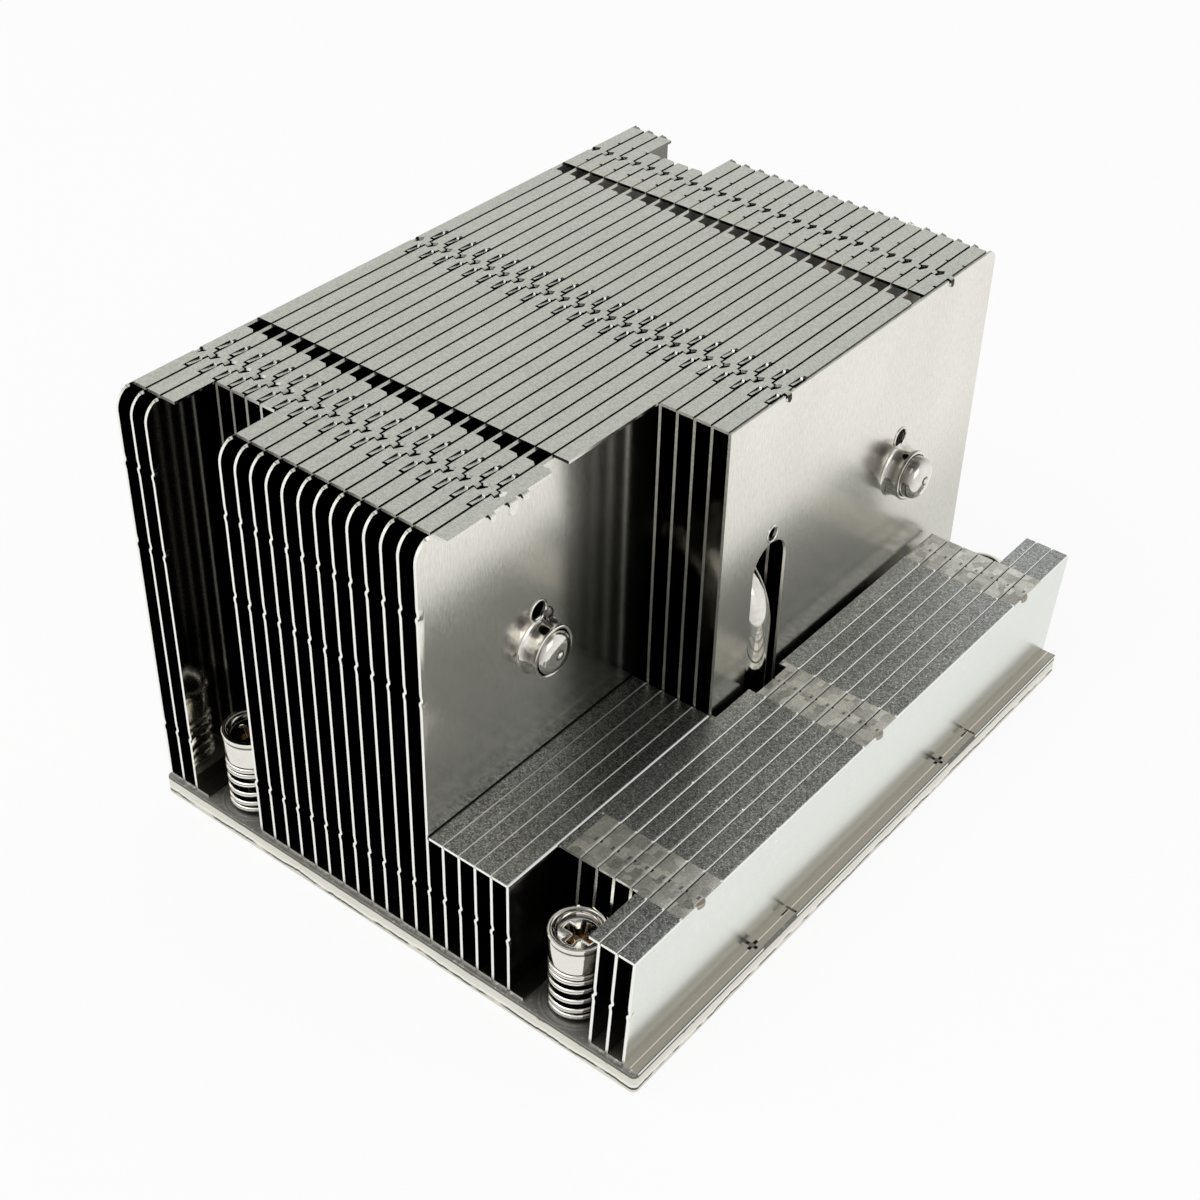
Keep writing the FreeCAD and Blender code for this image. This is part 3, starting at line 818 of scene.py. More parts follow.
def shape_tree(name):
    """A tree of the table, made when it is first asked for: its shape, realised and painted."""
    if name in bpy.data.node_groups:
        return bpy.data.node_groups[name]
    shape, inputs = TREES[name]
    tree = bpy.data.node_groups.new(name, "GeometryNodeTree")
    for title, kind in {"Geometry": "Geometry", **inputs, "Material": "Material"}.items():
        tree.interface.new_socket(title, in_out="INPUT", socket_type="NodeSocket" + kind)
    tree.interface.new_socket("Geometry", in_out="OUTPUT", socket_type="NodeSocketGeometry")
    nodes = Nodes(tree)
    given = nodes.node("NodeGroupInput")
    real = nodes.node("GeometryNodeRealizeInstances", inputs={0: shape(nodes, given)})
    paint = given.outputs("Material")[0]
    painted = nodes.node("GeometryNodeSetMaterial", inputs={"Geometry": real, "Material": paint})
    nodes.node("NodeGroupOutput", inputs={0: painted})
    return tree


def grow(name, mesh, tree_name, values, material, angle=35.0):
    """Runs a tree on a mesh and returns a plain mesh object with the result."""
    carrier = bpy.data.objects.new(name, mesh)
    bpy.context.scene.collection.objects.link(carrier)
    modifier = carrier.modifiers.new("grow", "NODES")
    modifier.node_group = shape_tree(tree_name)
    values = dict(values, Material=material)
    for socket in modifier.node_group.interface.items_tree:
        if socket.item_type == "SOCKET" and socket.in_out == "INPUT" and socket.name in values:
            modifier[socket.identifier] = values[socket.name]
    bpy.context.view_layer.update()
    evaluated = carrier.evaluated_get(bpy.context.evaluated_depsgraph_get())
    result = bpy.data.meshes.new_from_object(evaluated)
    carrier.modifiers.remove(modifier)
    carrier.data = result
    result.name = name
    if not result.polygons:
        raise RuntimeError("%s came out empty" % name)
    result.shade_smooth()
    result.set_sharp_from_angle(angle=math.radians(angle))
    return carrier


def row(name, mesh, material, x=0.0, y=0.0, count=1, angle=35.0):
    """A row of equal pieces, one fin pitch apart, that starts at a place in millimetres."""
    return grow(name, mesh, "row_of_pieces", {
        "Count": count, "Start": (x * MM, y * MM, 0.0), "Step": (PITCH * MM, 0.0, 0.0)}, material, angle)


def placed(piece, body, slot, *nodes):
    """Puts a finished piece on its body, in place of the plain nodes if it stands for any."""
    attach(piece, body)
    if nodes:
        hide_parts(*nodes)
    return piece


# ---------------------------------------------------------------- fins


def oblong(s0, s1, y0, y1):
    return [(s0, y0), (s1, y0), (s1, y1), (s0, y1)]


def with_features(edge_s, out, start, end, features):
    """Points along a free edge from start to end; each feature is a list of (outward, y) points."""
    low, high = min(start, end), max(start, end)
    chosen = [f for f in features if low < f[0][1] and f[-1][1] < high]
    points = [(edge_s, start)]
    for feature in sorted(chosen, key=lambda f: f[0][1], reverse=end < start):
        run = feature if end > start else feature[::-1]
        points += [(edge_s + out * depth, y) for depth, y in run]
    return points + [(edge_s, end)]


def clean(outline):
    """Drops repeated points."""
    kept = []
    for point in outline:
        if not kept or (abs(point[0] - kept[-1][0]) + abs(point[1] - kept[-1][1])) > 1e-5:
            kept.append(point)
    if abs(kept[0][0] - kept[-1][0]) + abs(kept[0][1] - kept[-1][1]) < 1e-5:
        kept.pop()
    return kept


def arch_feature(fold, y, radius=ARCH_R):
    """Open-bottomed slot with a round top, as points measured inwards from the bottom flange's edge."""
    centre = fold.up(PIPE_Z + ARCH_LIFT)
    arc = [(-(centre + radius * s), y - radius * c) for c, s in swing(math.pi, 12)]
    return [(0.0, y - radius)] + arc + [(0.0, y + radius)]


def tongue(y, tip, front=0.8, rear=0.3):
    """Hook that runs out of a flange's edge to a round tip, as (outward, y) points."""
    return [(0.0, y - front), (tip - 0.3, y - front), (tip - 0.08, y - front + 0.2), (tip, (2 * y - front + rear) / 2),
            (tip - 0.08, y + rear - 0.2), (tip - 0.3, y + rear), (0.0, y + rear)]


def notch(y0, y1, depth):
    return [(0.0, y0), (-depth, y0), (-depth, y1), (0.0, y1)]


def kinked(z, heights, y, front):
    """Sideways shift of the small stamped kinks in a web's front edge."""
    if y > front + KINK_DEPTH / 2:
        return 0.0
    spread, steepness = 0.5, 1.65
    amount = sizes().kink / MM
    gaps = [(z - height) / spread for height in heights]
    return sum(amount * steepness * gap * math.exp(-gap * gap) for gap in gaps if abs(gap) < 3)


def kink_lines(fold, heights, front):
    """Cuts of the flat pattern that carry the kinks: short lines across and two behind them."""
    if not heights:
        return []
    places = [fold.on(1, height - FOOT_Z + offset) for height in heights
              for offset in (-1.2, -0.7, -0.35, 0.0, 0.35, 0.7, 1.2)]
    lines = [((s, front - 1), (s, front + KINK_DEPTH)) for s in places]
    low, high = fold.web_start + 0.2, fold.on(1, heights[-1] - FOOT_Z + 1.6)
    return lines + [((low, front + depth), (high, front + depth)) for depth in (KINK_DEPTH, KINK_DEPTH + 0.25)]


def lines_along(places, front, rear):
    return [((s, front), (s, rear)) for s in places]


def flange_width():
    return PITCH - sizes().gap / MM


def tall_fold():
    """Bottom flange, web and top flange folded to +X; edge is the top flange's free edge."""
    wide = flange_width()
    fold = Fold([(wide, FOOT_Z + HALF), (HALF, FOOT_Z + HALF), (HALF, TALL_Z - HALF), (wide + 2, TALL_Z - HALF)],
                sizes().bend / MM)
    fold.edge = fold.on(2, wide - HALF)
    return fold


def low_fold(lean):
    """Bottom flange to +X, web leaning out by lean, top flange back to -X."""
    wide = flange_width()
    return Fold([(wide, FOOT_Z + HALF), (HALF, FOOT_Z + HALF), (HALF + lean, SHORT_Z - HALF),
                 (HALF + lean - wide - 1.5, SHORT_Z - HALF)], sizes().bend / MM)


def hook_lie():
    """How far a hook lies flat over the next web before it bends down."""
    return sizes().gap / MM + 0.12


def hook_place(fold, flat, lie, radius=0.24):
    """Carries a hook over the next web and bends it down behind it."""
    over = flat - fold.edge
    point, normal = fold(fold.edge)
    if over <= lie:
        return point + Vector((over, 0)), normal
    full = radius * math.pi / 2 * 0.95
    angle = min(over - lie, full) / radius
    centre = point + Vector((lie, -radius))
    direction = Vector((math.sin(angle), math.cos(angle)))
    place = centre + direction * radius
    place += Vector((math.cos(angle), -math.sin(angle))) * max(0.0, over - lie - full)
    return place, direction if normal.y > 0 else -direction


def hook_lines(edge, front, rear, lie):
    bends = (0.02, lie, lie + 0.14, lie + 0.28, lie + 0.42, lie + 0.56)
    return lines_along([edge + bend for bend in bends], front, rear)


def hook_window(fold, y):
    """Hole beside a bend through which the next flange's hook reaches down."""
    start, end = fold.bend_start + 0.02, fold.bend_end
    return [(start, y - 0.65), (end + 0.15, y - 0.9), (end + 0.55, y - 1.05), (end + 1.15, y + 0.05),
            (end + 0.85, y + 0.85), (end + 0.15, y + 0.45), (start, y + 0.32)]


def tab_spans(y):
    """Front and rear pressed tab of an interlock."""
    return (y - 3.95, y - 1.2), (y + 1.1, y + 3.85)


def tab_inner():
    return TAB_BACK - sizes().slit / MM


def pressed_tab(lock, y0, y1):
    """Edge feature of one pressed tab: a small hole at its front end and cuts along both sides.
    In the rear row only a small hole shows."""
    if lock == 2:
        return notch(y0, y0 + 0.34, 0.32)
    inner, outer = -tab_inner(), -TAB_EDGES[lock]
    return [(0.0, y0), (-TAB_BACK, y0), (-TAB_BACK, y1 - TAB_ROOT), (inner, y1 - TAB_ROOT), (inner, y0 + TAB_HOLE),
            (outer, y0 + TAB_HOLE), (outer, y1), (0.0, y1)]


def lock_features(lock, y):
    """Edge features of one interlock: both tabs and the hook."""
    front, rear = tab_spans(y)
    if lock == 2:
        rear = (rear[1] - 0.3, rear[1])
    hook = tongue(y, hook_lie() + sizes().hook / MM + 0.3, 0.6, 0.25)
    return [pressed_tab(lock, *front), pressed_tab(lock, *rear), hook]


def tab_lines(edge, locks):
    ends = [(lock, y1) for lock, y in locks for _, y1 in tab_spans(y)]
    return [((edge - tab_inner(), end - back), (edge - TAB_EDGES[lock], end - back)) for lock, end in ends
            for back in (TAB_ROOT, TAB_ROOT + 0.14)]


def pressed(edge, locks, s, y):
    """How far a point of a pressed tab lies under its flange."""
    for lock, middle in locks:
        if not edge - tab_inner() - TINY < s < edge - TAB_EDGES[lock] + TINY:
            continue
        for y0, y1 in tab_spans(middle):
            low, high = y0 + TAB_HOLE, y1 - TAB_ROOT
            if low - TINY < y < high - TINY:
                return TAB_SINK * (0.15 + 0.85 * min(1.0, (y - low) / (high - 0.14 - low)))
    return 0.0


def slot_feature(fold, low, high):
    """Opening of a flange from its free edge to the bend, with a slanted front corner."""
    inward = fold.bend_start + 0.12 - fold.edge
    return [(0.0, low - 0.85), (-0.5, low - 0.4), (inward, low - 0.4), (inward, high), (0.0, high)]


def rear_round(top, rear):
    """Rounded upper rear corner of a tall web."""
    return [(top - REAR_ROUND + REAR_ROUND * c, rear - REAR_ROUND + REAR_ROUND * s)
            for c, s in swing(math.pi / 2, 6, 1)]


def in_space(point, normal, y, shift, sunk=0.0):
    return Vector((point.x + shift, y, point.y - sunk)), Vector((normal.x, 0, normal.y))


def tall_pattern(front=FRONT, rear=REAR, cut=False, lower=(), holes=(), hanging=False):
    """Flat pattern of a tall fin: outlines, fold lines and how a point is put in place.
    cut marks the fins cut back for the screws, hanging the panel whose front hooks hang free."""
    fold = tall_fold()
    edge, lie = fold.edge, hook_lie()
    features, all_holes, locks = [], list(holes), []
    for lock, y in enumerate(LOCK_ROWS):
        if not front + 4 < y < rear - 4:
            continue
        all_holes.append(hook_window(fold, y))
        if hanging and lock == 0:
            features += [[(0.0, y - 3.9), (1.0, y - 3.8), (1.0, y - 3.1), (0.0, y - 3.0)],
                         [(0.0, y + 1.5), (0.9, y + 1.6), (0.9, y + 2.6), (0.0, y + 2.7)],
                         tongue(y, 1.7, 0.7, 0.7)]
        else:
            features += lock_features(lock, y)
            locks += [(lock, y)] * (lock < 2)
    features += [slot_feature(fold, low, high) for low, high in SLOTS]
    if cut:
        end = rear - FLANGE_END
        outline = [(0.0, front), (edge, front)] + with_features(edge, 1, front, end, features)
        outline += [(edge - FLANGE_END * (1 - c), end + FLANGE_END * s) for c, s in swing(math.pi / 2, 5, 1)]
    else:
        top, start, end = fold.bend_end, front + FRONT_ROUND, rear - FLANGE_STOP
        outline = [(0.0, front), (top - FRONT_ROUND, front)]
        outline += [(top - FRONT_ROUND + FRONT_ROUND * s, front + FRONT_ROUND - FRONT_ROUND * c)
                    for c, s in swing(math.pi / 2, 8, 1)]
        outline += with_features(edge, 1, start, end, features)
        outline += [(top, end), (top, rear - REAR_ROUND)] + rear_round(top, rear)
    outline += [(0.0, rear)] + with_features(0.0, -1, rear, front, list(lower))[1:-1]
    heights = () if cut else KINKS_TALL
    lines = lines_along(fold.marks, front - 1, rear + 1) + kink_lines(fold, heights, front)
    lines += hook_lines(edge, front, rear, lie) + tab_lines(edge, locks)
    if hanging:
        lines += hook_lines(edge, front, STEP_Y, 0.0)

    def place(s, y):
        if s > edge + TINY:
            point, normal = hook_place(fold, s, 0.0 if hanging and y < STEP_Y else lie)
        else:
            point, normal = fold(s)
        return in_space(point, normal, y, kinked(point.y, heights, y, front), pressed(edge, locks, s, y))

    return [clean(outline)] + all_holes, lines, place


def low_pattern(front, rear, flange_edges, lower=(), holes=()):
    """Flat pattern of a low fin; flange_edges gives (from y, to y, reach) of its top flange."""
    fold = low_fold(LEAN)
    outline = [(0.0, front)]
    for y0, y1, reach in flange_edges:
        features = []
        for y in LOW_LOCK_ROWS:
            if y0 + 1 < y < y1 - 1:
                features += [notch(y - 3.7, y - 0.5, 0.05), notch(y - 0.25, y + 0.25, 0.16),
                             notch(y + 0.5, y + 3.6, 0.05)]
        outline += with_features(fold.on(2, reach - HALF), 1, y0, y1, features)
    outline += [(0.0, rear)] + with_features(0.0, -1, rear, front, list(lower))[1:-1]
    lines = lines_along(fold.marks, front - 1, rear + 1) + kink_lines(fold, KINKS_LOW, front)

    def place(s, y):
        point, normal = fold(s)
        return in_space(point, normal, y, kinked(point.y, KINKS_LOW, y, front))

    return [clean(outline)] + list(holes), lines, place


def stepped_pattern(lower, holes, top_flange=True):
    """Low and folded to -X in front of the step, tall and folded to +X behind it."""
    tall, low = tall_fold(), low_fold(0.0)
    edge, lie, split = tall.edge, hook_lie(), low.bend_start
    low_edge, relief = low.on(2, flange_width()), STEP_Y - 0.25
    outline = [(0.0, FRONT), (low_edge, FRONT), (low_edge, relief), (split, relief), (split, STEP_Y)]
    all_holes, features, locks = list(holes), [], []
    if top_flange:
        top = tall.bend_end
        for lock in (1, 2):
            all_holes.append(hook_window(tall, LOCK_ROWS[lock]))
            features += lock_features(lock, LOCK_ROWS[lock])
        features.append(slot_feature(tall, *SLOTS[1]))
        locks.append((1, LOCK_ROWS[1]))
        outline += with_features(edge, 1, STEP_Y, REAR - FLANGE_STOP, features)
        outline += [(top, REAR - FLANGE_STOP), (top, REAR - REAR_ROUND)]
    else:
        top = tall.on(1, TALL_Z - FOOT_Z - HALF)
        notches = [notch(y - 0.85, y + 0.35, 0.42) for y in LOCK_ROWS[1:]]
        outline += with_features(top, 1, STEP_Y, REAR - REAR_ROUND, notches)
    outline += rear_round(top, REAR) + [(0.0, REAR)]
    outline += with_features(0.0, -1, REAR, FRONT, list(lower))[1:-1]
    on_web = tall.web_start + 1
    lines = lines_along([s for s in tall.marks if s > on_web], STEP_Y, REAR + 1)
    lines += lines_along([s for s in tall.marks if s < on_web], FRONT - 1, REAR + 1)
    lines += lines_along([s for s in low.marks if s > on_web], FRONT - 1, relief)
    lines += kink_lines(tall, KINKS_LOW, FRONT)
    lines += hook_lines(edge, STEP_Y, REAR, lie) + tab_lines(edge, locks)

    def place(s, y):
        if y <= relief + TINY and s > split:
            point, normal = low(s)
        elif top_flange and s > edge + TINY:
            point, normal = hook_place(tall, s, lie)
        elif not top_flange and s > tall.web_start:
            point, normal = Vector((HALF, FOOT_Z + s - tall.on(1, 0))), Vector((1, 0))
        else:
            point, normal = tall(s)
        shift = kinked(point.y, KINKS_LOW, y, FRONT) if point.y < SHORT_Z - 1 else 0.0
        return in_space(point, normal, y, shift, pressed(edge, locks, s, y) if y > STEP_Y else 0.0)

    return [clean(outline)] + all_holes, lines, place


def fin_row(name, material, first, last, pattern):
    """One template fin, repeated from the first to the last place by Geometry Nodes."""
    fins = row(name, sheet_mesh(name, *pattern), material, web_x(first), count=last - first + 1)
    return placed(fins, "sink", "plated_fin", *["fin_%02d" % i for i in range(first, last + 1)])


class HEATSINK_OT_tall_fins(bpy.types.Operator):
    """Folds the tall fins of the left stack and the large panel"""
    bl_idname = "heatsink.tall_fins"
    bl_label = "Tall fins"

    def execute(self, context):
        metal = sheet_metal("plated_tall_fins", finishes().inner)
        fold = tall_fold()
        slots = [arch_feature(fold, PIPE_Y[name]) for name in ("front", "rear")]
        hole = {name: ring(fold.up(PIPE_Z), y, HOLE_R, 24) for name, y in PIPE_Y.items()}
        one, every = [hole["middle"]], list(hole.values())
        fin_row("fins_tall_outer", metal, 1, 3, tall_pattern())
        fin_row("fins_tall_cut", metal, 4, 7, tall_pattern(CUT_FRONT, CUT_REAR_TALL, cut=True))
        fin_row("fin_pipe_end", metal, 8, 8, tall_pattern(holes=one))
        fin_row("fins_tall_leg_slots", metal, 9, 13, tall_pattern(lower=slots, holes=one))
        fin_row("fins_tall_inner", metal, 14, 19, tall_pattern(holes=every))
        panel = sheet_metal("plated_front_panel", finishes().web, satin=0.08)
        solder = ring(fold.up(PIPE_Z + SOLDER_LIFT), PIPE_Y["front"], SOLDER_R, 24)
        fin_row("panel_front", panel, 20, 20, tall_pattern(holes=every + [solder], hanging=True))
        return {"FINISHED"}


class HEATSINK_OT_stepped_fins(bpy.types.Operator):
    """Folds the stepped fins and the rear panel"""
    bl_idname = "heatsink.stepped_fins"
    bl_label = "Stepped fins"

    def execute(self, context):
        metal = sheet_metal("plated_stepped_fins", finishes().inner, low_tops=True)
        fold = tall_fold()
        slot = [arch_feature(fold, PIPE_Y["middle"])]
        hole = ring(fold.up(PIPE_Z), PIPE_Y["rear"], HOLE_R, 24)
        fin_row("fins_stepped", metal, 21, 24, stepped_pattern(slot, [hole]))
        solder = ring(fold.up(PIPE_Z + SOLDER_LIFT), PIPE_Y["rear"], SOLDER_R, 24)
        vent = ring(fold.up(PIPE_Z + VENT_LIFT), PIPE_Y["middle"], VENT_R, 24)
        panel = sheet_metal("plated_rear_panel", finishes().web, low_tops=True, satin=0.10)
        fin_row("panel_rear", panel, 25, 25, stepped_pattern(slot, [hole, solder, vent], top_flange=False))
        return {"FINISHED"}


class HEATSINK_OT_collars(bpy.types.Operator):
    """Draws the two collars where pipes leave the panels, with the rolled rims of the solder holes"""
    bl_idname = "heatsink.collars"
    bl_label = "Collars"

    def execute(self, context):
        metal = pipe_metal("plated_collars")
        outer = HOLE_R + context.scene.heatsink_pipes.collar / MM
        profile = [(outer + 0.48, SHEET - 0.05), (outer + 0.24, SHEET + 0.06), (outer + 0.06, SHEET + 0.26),
                   (outer - 0.05, SHEET + 0.70), (outer - 0.12, SHEET + 1.30), (outer - 0.06, SHEET + 1.90),
                   (outer + 0.05, SHEET + 2.30), (outer + 0.02, SHEET + 2.48), (outer - 0.15, SHEET + 2.55),
                   (HOLE_R + 0.12, SHEET + 2.53), (HOLE_R, SHEET + 2.42), (HOLE_R, 0.05), (outer + 0.3, 0.05)]
        bead = [(0.0, SHEET - 0.2), (0.75, SHEET - 0.2), (0.8, SHEET + 0.1), (0.7, SHEET + 0.4),
                (0.42, SHEET + 0.6), (0.0, SHEET + 0.66)]
        rim = ring(SOLDER_R, SHEET + 0.02, 0.16, 10, 0.14)
        vent = ring(VENT_R, SHEET + 0.02, 0.14, 10, 0.12)
        # Besides the collar and the rim: a bead of solder in front, the rim of the vent hole behind
        extra = {"front": (bead, 20, 1.7, 3.9, False),
                 "rear": (vent, 28, PIPE_Y["middle"] - PIPE_Y["rear"], VENT_LIFT, True)}
        for name, face in PANEL_X.items():
            verts, faces = [], []
            turned = (profile, 56, 0.0, 0.0, True), (rim, 32, 0.0, SOLDER_LIFT, True), extra[name]
            for shape, steps, dy, dz, closed in turned:
                more, rings = lathe(shape, steps, closed)
                offset = len(verts)
                verts += [Vector((v.z, PIPE_Y[name] + dy + v.x, PIPE_Z + dz + v.y)) for v in more]
                faces += [tuple(i + offset for i in face) for face in rings]
            collar = row("collar_%s" % name, mesh_from("collar", verts, faces), metal, face, angle=40.0)
            placed(collar, "sink", "plated_fin")
        return {"FINISHED"}


class HEATSINK_OT_low_fins(bpy.types.Operator):
    """Folds the low fins of the right side and the pale side panel"""
    bl_idname = "heatsink.low_fins"
    bl_label = "Low fins"

    def execute(self, context):
        metal = low_metal()
        reach = web_x(26) + LEAN + SHEET - web_x(25) - SHEET
        half, y, wide, short = PIPE_R + 0.5, PIPE_Y["middle"], flange_width(), 1.3 + SHEET
        cut = CUT_FRONT, CUT_REAR_LOW
        joined = [(CUT_FRONT, STEP_Y, reach - 0.1), (STEP_Y, y - half, reach - 0.75),
                  (y - half, y + half, reach - 1.95), (y + half, CUT_REAR_LOW, reach - 0.75)]
        trimmed = [(FRONT, CUT_FRONT, short), (*cut, wide), (CUT_REAR_LOW, REAR, short)]
        full = [(FRONT, REAR, wide)]
        fin_row("fin_low_wide", metal, 26, 26, low_pattern(*cut, joined))
        fin_row("fins_low_cut", metal, 27, 29, low_pattern(*cut, [(*cut, wide)]))
        fin_row("fin_low_trimmed", metal, 30, 30, low_pattern(FRONT, REAR, trimmed))
        fin_row("fin_low_full", metal, 31, 31, low_pattern(FRONT, REAR, full))
        notches, cuts = [], []
        for y in FOOT_CROSSES:
            notches.append([(0.0, y + 0.6), (-0.35, y + 0.8), (-0.35, y + 8.0), (0.0, y + 8.0)])
            cuts += [oblong(1.05, 1.85, y - 0.3, y + 0.35), oblong(0.5, 1.95, y + 8.2, y + 8.45),
                     oblong(1.3, 1.5, y + 6.6, y + 8.2)]
        fin_row("panel_side", metal, 32, 32, low_pattern(FRONT, REAR, full, notches, cuts))
        self.side_tabs()
        return {"FINISHED"}

    def side_tabs(self):
        """Oval tabs pressed up along the side panel's top edge."""
        verts, faces = [], []
        x = web_x(32) + LEAN + SHEET - 0.35
        for y in SIDE_TAB_ROWS:
            levels = [(ring(x, y, 0.62 * share, 16, 0.95 * share), SHORT_Z - below)
                      for share, below in ((1.0, 0.6), (1.0, 0.12), (0.86, 0.02))]
            ring_rows(verts, faces, levels)
            for (points, z), upward in ((levels[0], False), (levels[-1], True)):
                cap(verts, faces, [points], z, upward)
        placed(row("side_tabs", mesh_from("side_tabs", verts, faces), tab_metal(), angle=40.0), "sink", "plated_fin")


# ---------------------------------------------------------------- pipes, screws, springs, plate


class HEATSINK_OT_heat_pipes(bpy.types.Operator):
    """Sweeps the three bent heat pipes"""
    bl_idname = "heatsink.heat_pipes"
    bl_label = "Heat pipes"

    def execute(self, context):
        metal = pipe_metal("plated_heat_pipes")
        for name, (side, leg_x, tip_x) in PIPES.items():
            route = line_mesh("pipe_line_%s" % name, *self.route(context, side, PIPE_Y[name], leg_x, tip_x))
            pipe = grow("pipe_%s" % name, route, "round_tube", {"Radius": PIPE_R * MM, "Sides": 40}, metal, 50.0)
            placed(pipe, "sink", "plated_pipe", "heat_pipe_%s" % name)
        return {"FINISHED"}

    def route(self, context, side, y, leg_x, tip_x):
        """Points and thickness shares from the foot in the base, up the leg and out to the crimped tip."""
        bend = context.scene.heatsink_pipes.bend / MM
        crimp = context.scene.heatsink_pipes.crimp / MM
        path = [((leg_x, y, 1.9), 0.5), ((leg_x, y, FOOT_Z + 3), 1.0)]
        path += [((leg_x - side * bend + side * bend * c, y, PIPE_Z - bend + bend * s), 1.0)
                 for c, s in swing(math.pi / 2, 16)]
        # Distances back from the tip, and the share of the pipe's radius there
        for back, share in ((crimp + 0.6, 1.0), (crimp, 0.985), (crimp * 0.66, 0.95), (crimp * 0.36, 0.87),
                            (crimp * 0.17, 0.74), (crimp * 0.06, 0.56), (0.0, 0.36), (-0.02, 0.19), (-0.2, 0.165),
                            (-0.3, 0.08)):
            path.append(((tip_x + side * back, y, PIPE_Z), share))
        return zip(*path)


def cross_outline(arm, half):
    """Outline of the cross recess: four arms with pointed ends and slanted inner corners."""
    flare, point = 0.22, 0.12
    quarter = [(arm, -half), (arm + point, 0), (arm, half), (half + flare, half), (half, half + flare)]
    outline = []
    for _ in range(4):
        outline += quarter
        quarter = [(-y, x) for x, y in quarter]
    return outline


def screw_mesh(looks):
    """Turned screw with a rolled rim, a cup and a cross recess, at the origin."""
    rim, cup, cross, top = looks.rim / MM, looks.cup / MM, looks.cross / MM / 2, SCREW_TOP
    floor_z, pit_z, steps = top - 1.0, top - 2.6, 64
    profile = [(0.0, 0.2), (1.6, 0.2), (1.9, 0.5), (1.9, 1.7), (1.4, 1.7), (1.4, SEAT_Z), (3.45, SEAT_Z),
               (3.66, SEAT_Z + 0.08), (3.7, SEAT_Z + 0.25), (3.7, top - 0.95), (3.62, top - 0.8), (3.7, top - 0.68),
               (rim - 0.08, top - 0.6), (rim, top - 0.48), (rim, top - 0.14), (rim - 0.1, top - 0.02),
               (rim - 0.22, top), (cup + 0.32, top - 0.02), (cup + 0.16, top - 0.12), (cup + 0.04, top - 0.35),
               (cup - 0.06, floor_z + 0.3), (cup - 0.25, floor_z + 0.08), (cup - 0.5, floor_z)]
    verts, faces = lathe(profile, steps)
    floor_edge = [(vert.x, vert.y) for vert in verts[-steps:]]
    outline = cross_outline(2.0, cross)
    levels = ((1.0, floor_z), (0.97, floor_z - 0.12), (0.86, floor_z - 0.8), (0.62, pit_z))
    last = ring_rows(verts, faces, [([(x * share, y * share) for x, y in outline], z) for share, z in levels])[-1]
    cap(verts, faces, [floor_edge, outline], floor_z, True)
    tip = len(verts)
    verts.append(Vector((0, 0, pit_z - 0.25)))
    faces += [(here, after, tip) for here, after in zip(last, last[1:] + last[:1])]
    return mesh_from("screw", verts, faces, 30.0)


class HEATSINK_OT_screws(bpy.types.Operator):
    """Turns the four captive screws"""
    bl_idname = "heatsink.screws"
    bl_label = "Captive screws"

    def execute(self, context):
        metal, mesh = screw_metal(), screw_mesh(context.scene.heatsink_screws)
        for name, (x, y) in SCREWS.items():
            screw = row("captive_screw_%s" % name, mesh.copy(), metal, x, y, angle=30.0)
            placed(screw, "screw_%s" % name, "plated_screw", "screw_%s" % name)
        return {"FINISHED"}


class HEATSINK_OT_springs(bpy.types.Operator):
    """Coils the four springs under the screw heads"""
    bl_idname = "heatsink.springs"
    bl_label = "Springs"

    def execute(self, context):
        wire = context.scene.heatsink_screws.wire / MM
        mean = context.scene.heatsink_screws.coil / MM - wire / 2
        metal = spring_metal(mean)
        coil = self.coil(mean, wire)
        for name, (x, y) in SCREWS.items():
            route = line_mesh("coil_line_%s" % name, [(px + x, py + y, pz) for px, py, pz in coil], [1.0] * len(coil))
            spring = grow("coil_spring_%s" % name, route, "round_tube", {"Radius": wire / 2 * MM, "Sides": 12},
                          metal, 60.0)
            placed(spring, "spring_%s" % name, "spring_wire", "screw_spring_%s" % name)
            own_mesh(spring)
        return {"FINISHED"}

    def coil(self, mean, wire, coils=5.7, steps=30):
        """Points of a spring with a closed coil at each end."""
        low, high, closed = FOOT_Z + 0.05 + wire / 2, SEAT_Z - 0.05 - wire / 2, wire * 1.02
        start, points = 2.2, []
        for step in range(int(coils * steps) + 1):
            turn = step / steps
            lead = min(turn, 1.0) * closed
            tail = max(0.0, turn - coils + 1.0) * closed
            middle = max(0.0, min(1.0, (turn - 1.0) / (coils - 2.0)))
            middle = middle * middle * (3 - 2 * middle) * 0.25 + middle * 0.75
            angle = 2 * math.pi * turn + start
            rise = lead + tail + (high - low - 2 * closed) * middle
            points.append((mean * math.cos(angle), mean * math.sin(angle), low + rise))
        return points


def plate_outline(inset):
    """Rounded rectangle of the base plate, moved inwards."""
    radius = bpy.context.scene.heatsink_plate.corner / MM
    reach, points = radius - inset, []
    for sign_x, sign_y, turn in ((1, 1, 0), (-1, 1, 90), (-1, -1, 180), (1, -1, 270)):
        for step in range(7):
            angle = math.radians(turn + 15 * step)
            points.append((sign_x * (PLATE_X - radius) + reach * math.cos(angle),
                           sign_y * (PLATE_Y - radius) + reach * math.sin(angle)))
    return points


def groove_outline(side, y, leg_x):
    """Stadium of a pipe's pressed foot in the base plate."""
    far = leg_x - side * GROOVE_RUN
    angles = [math.pi * (i / 8 - 0.5) for i in range(9)]
    return [(end + sign * GROOVE_R * math.cos(a), y + sign * GROOVE_R * math.sin(a))
            for sign, end in ((1, max(leg_x, far)), (-1, min(leg_x, far))) for a in angles]


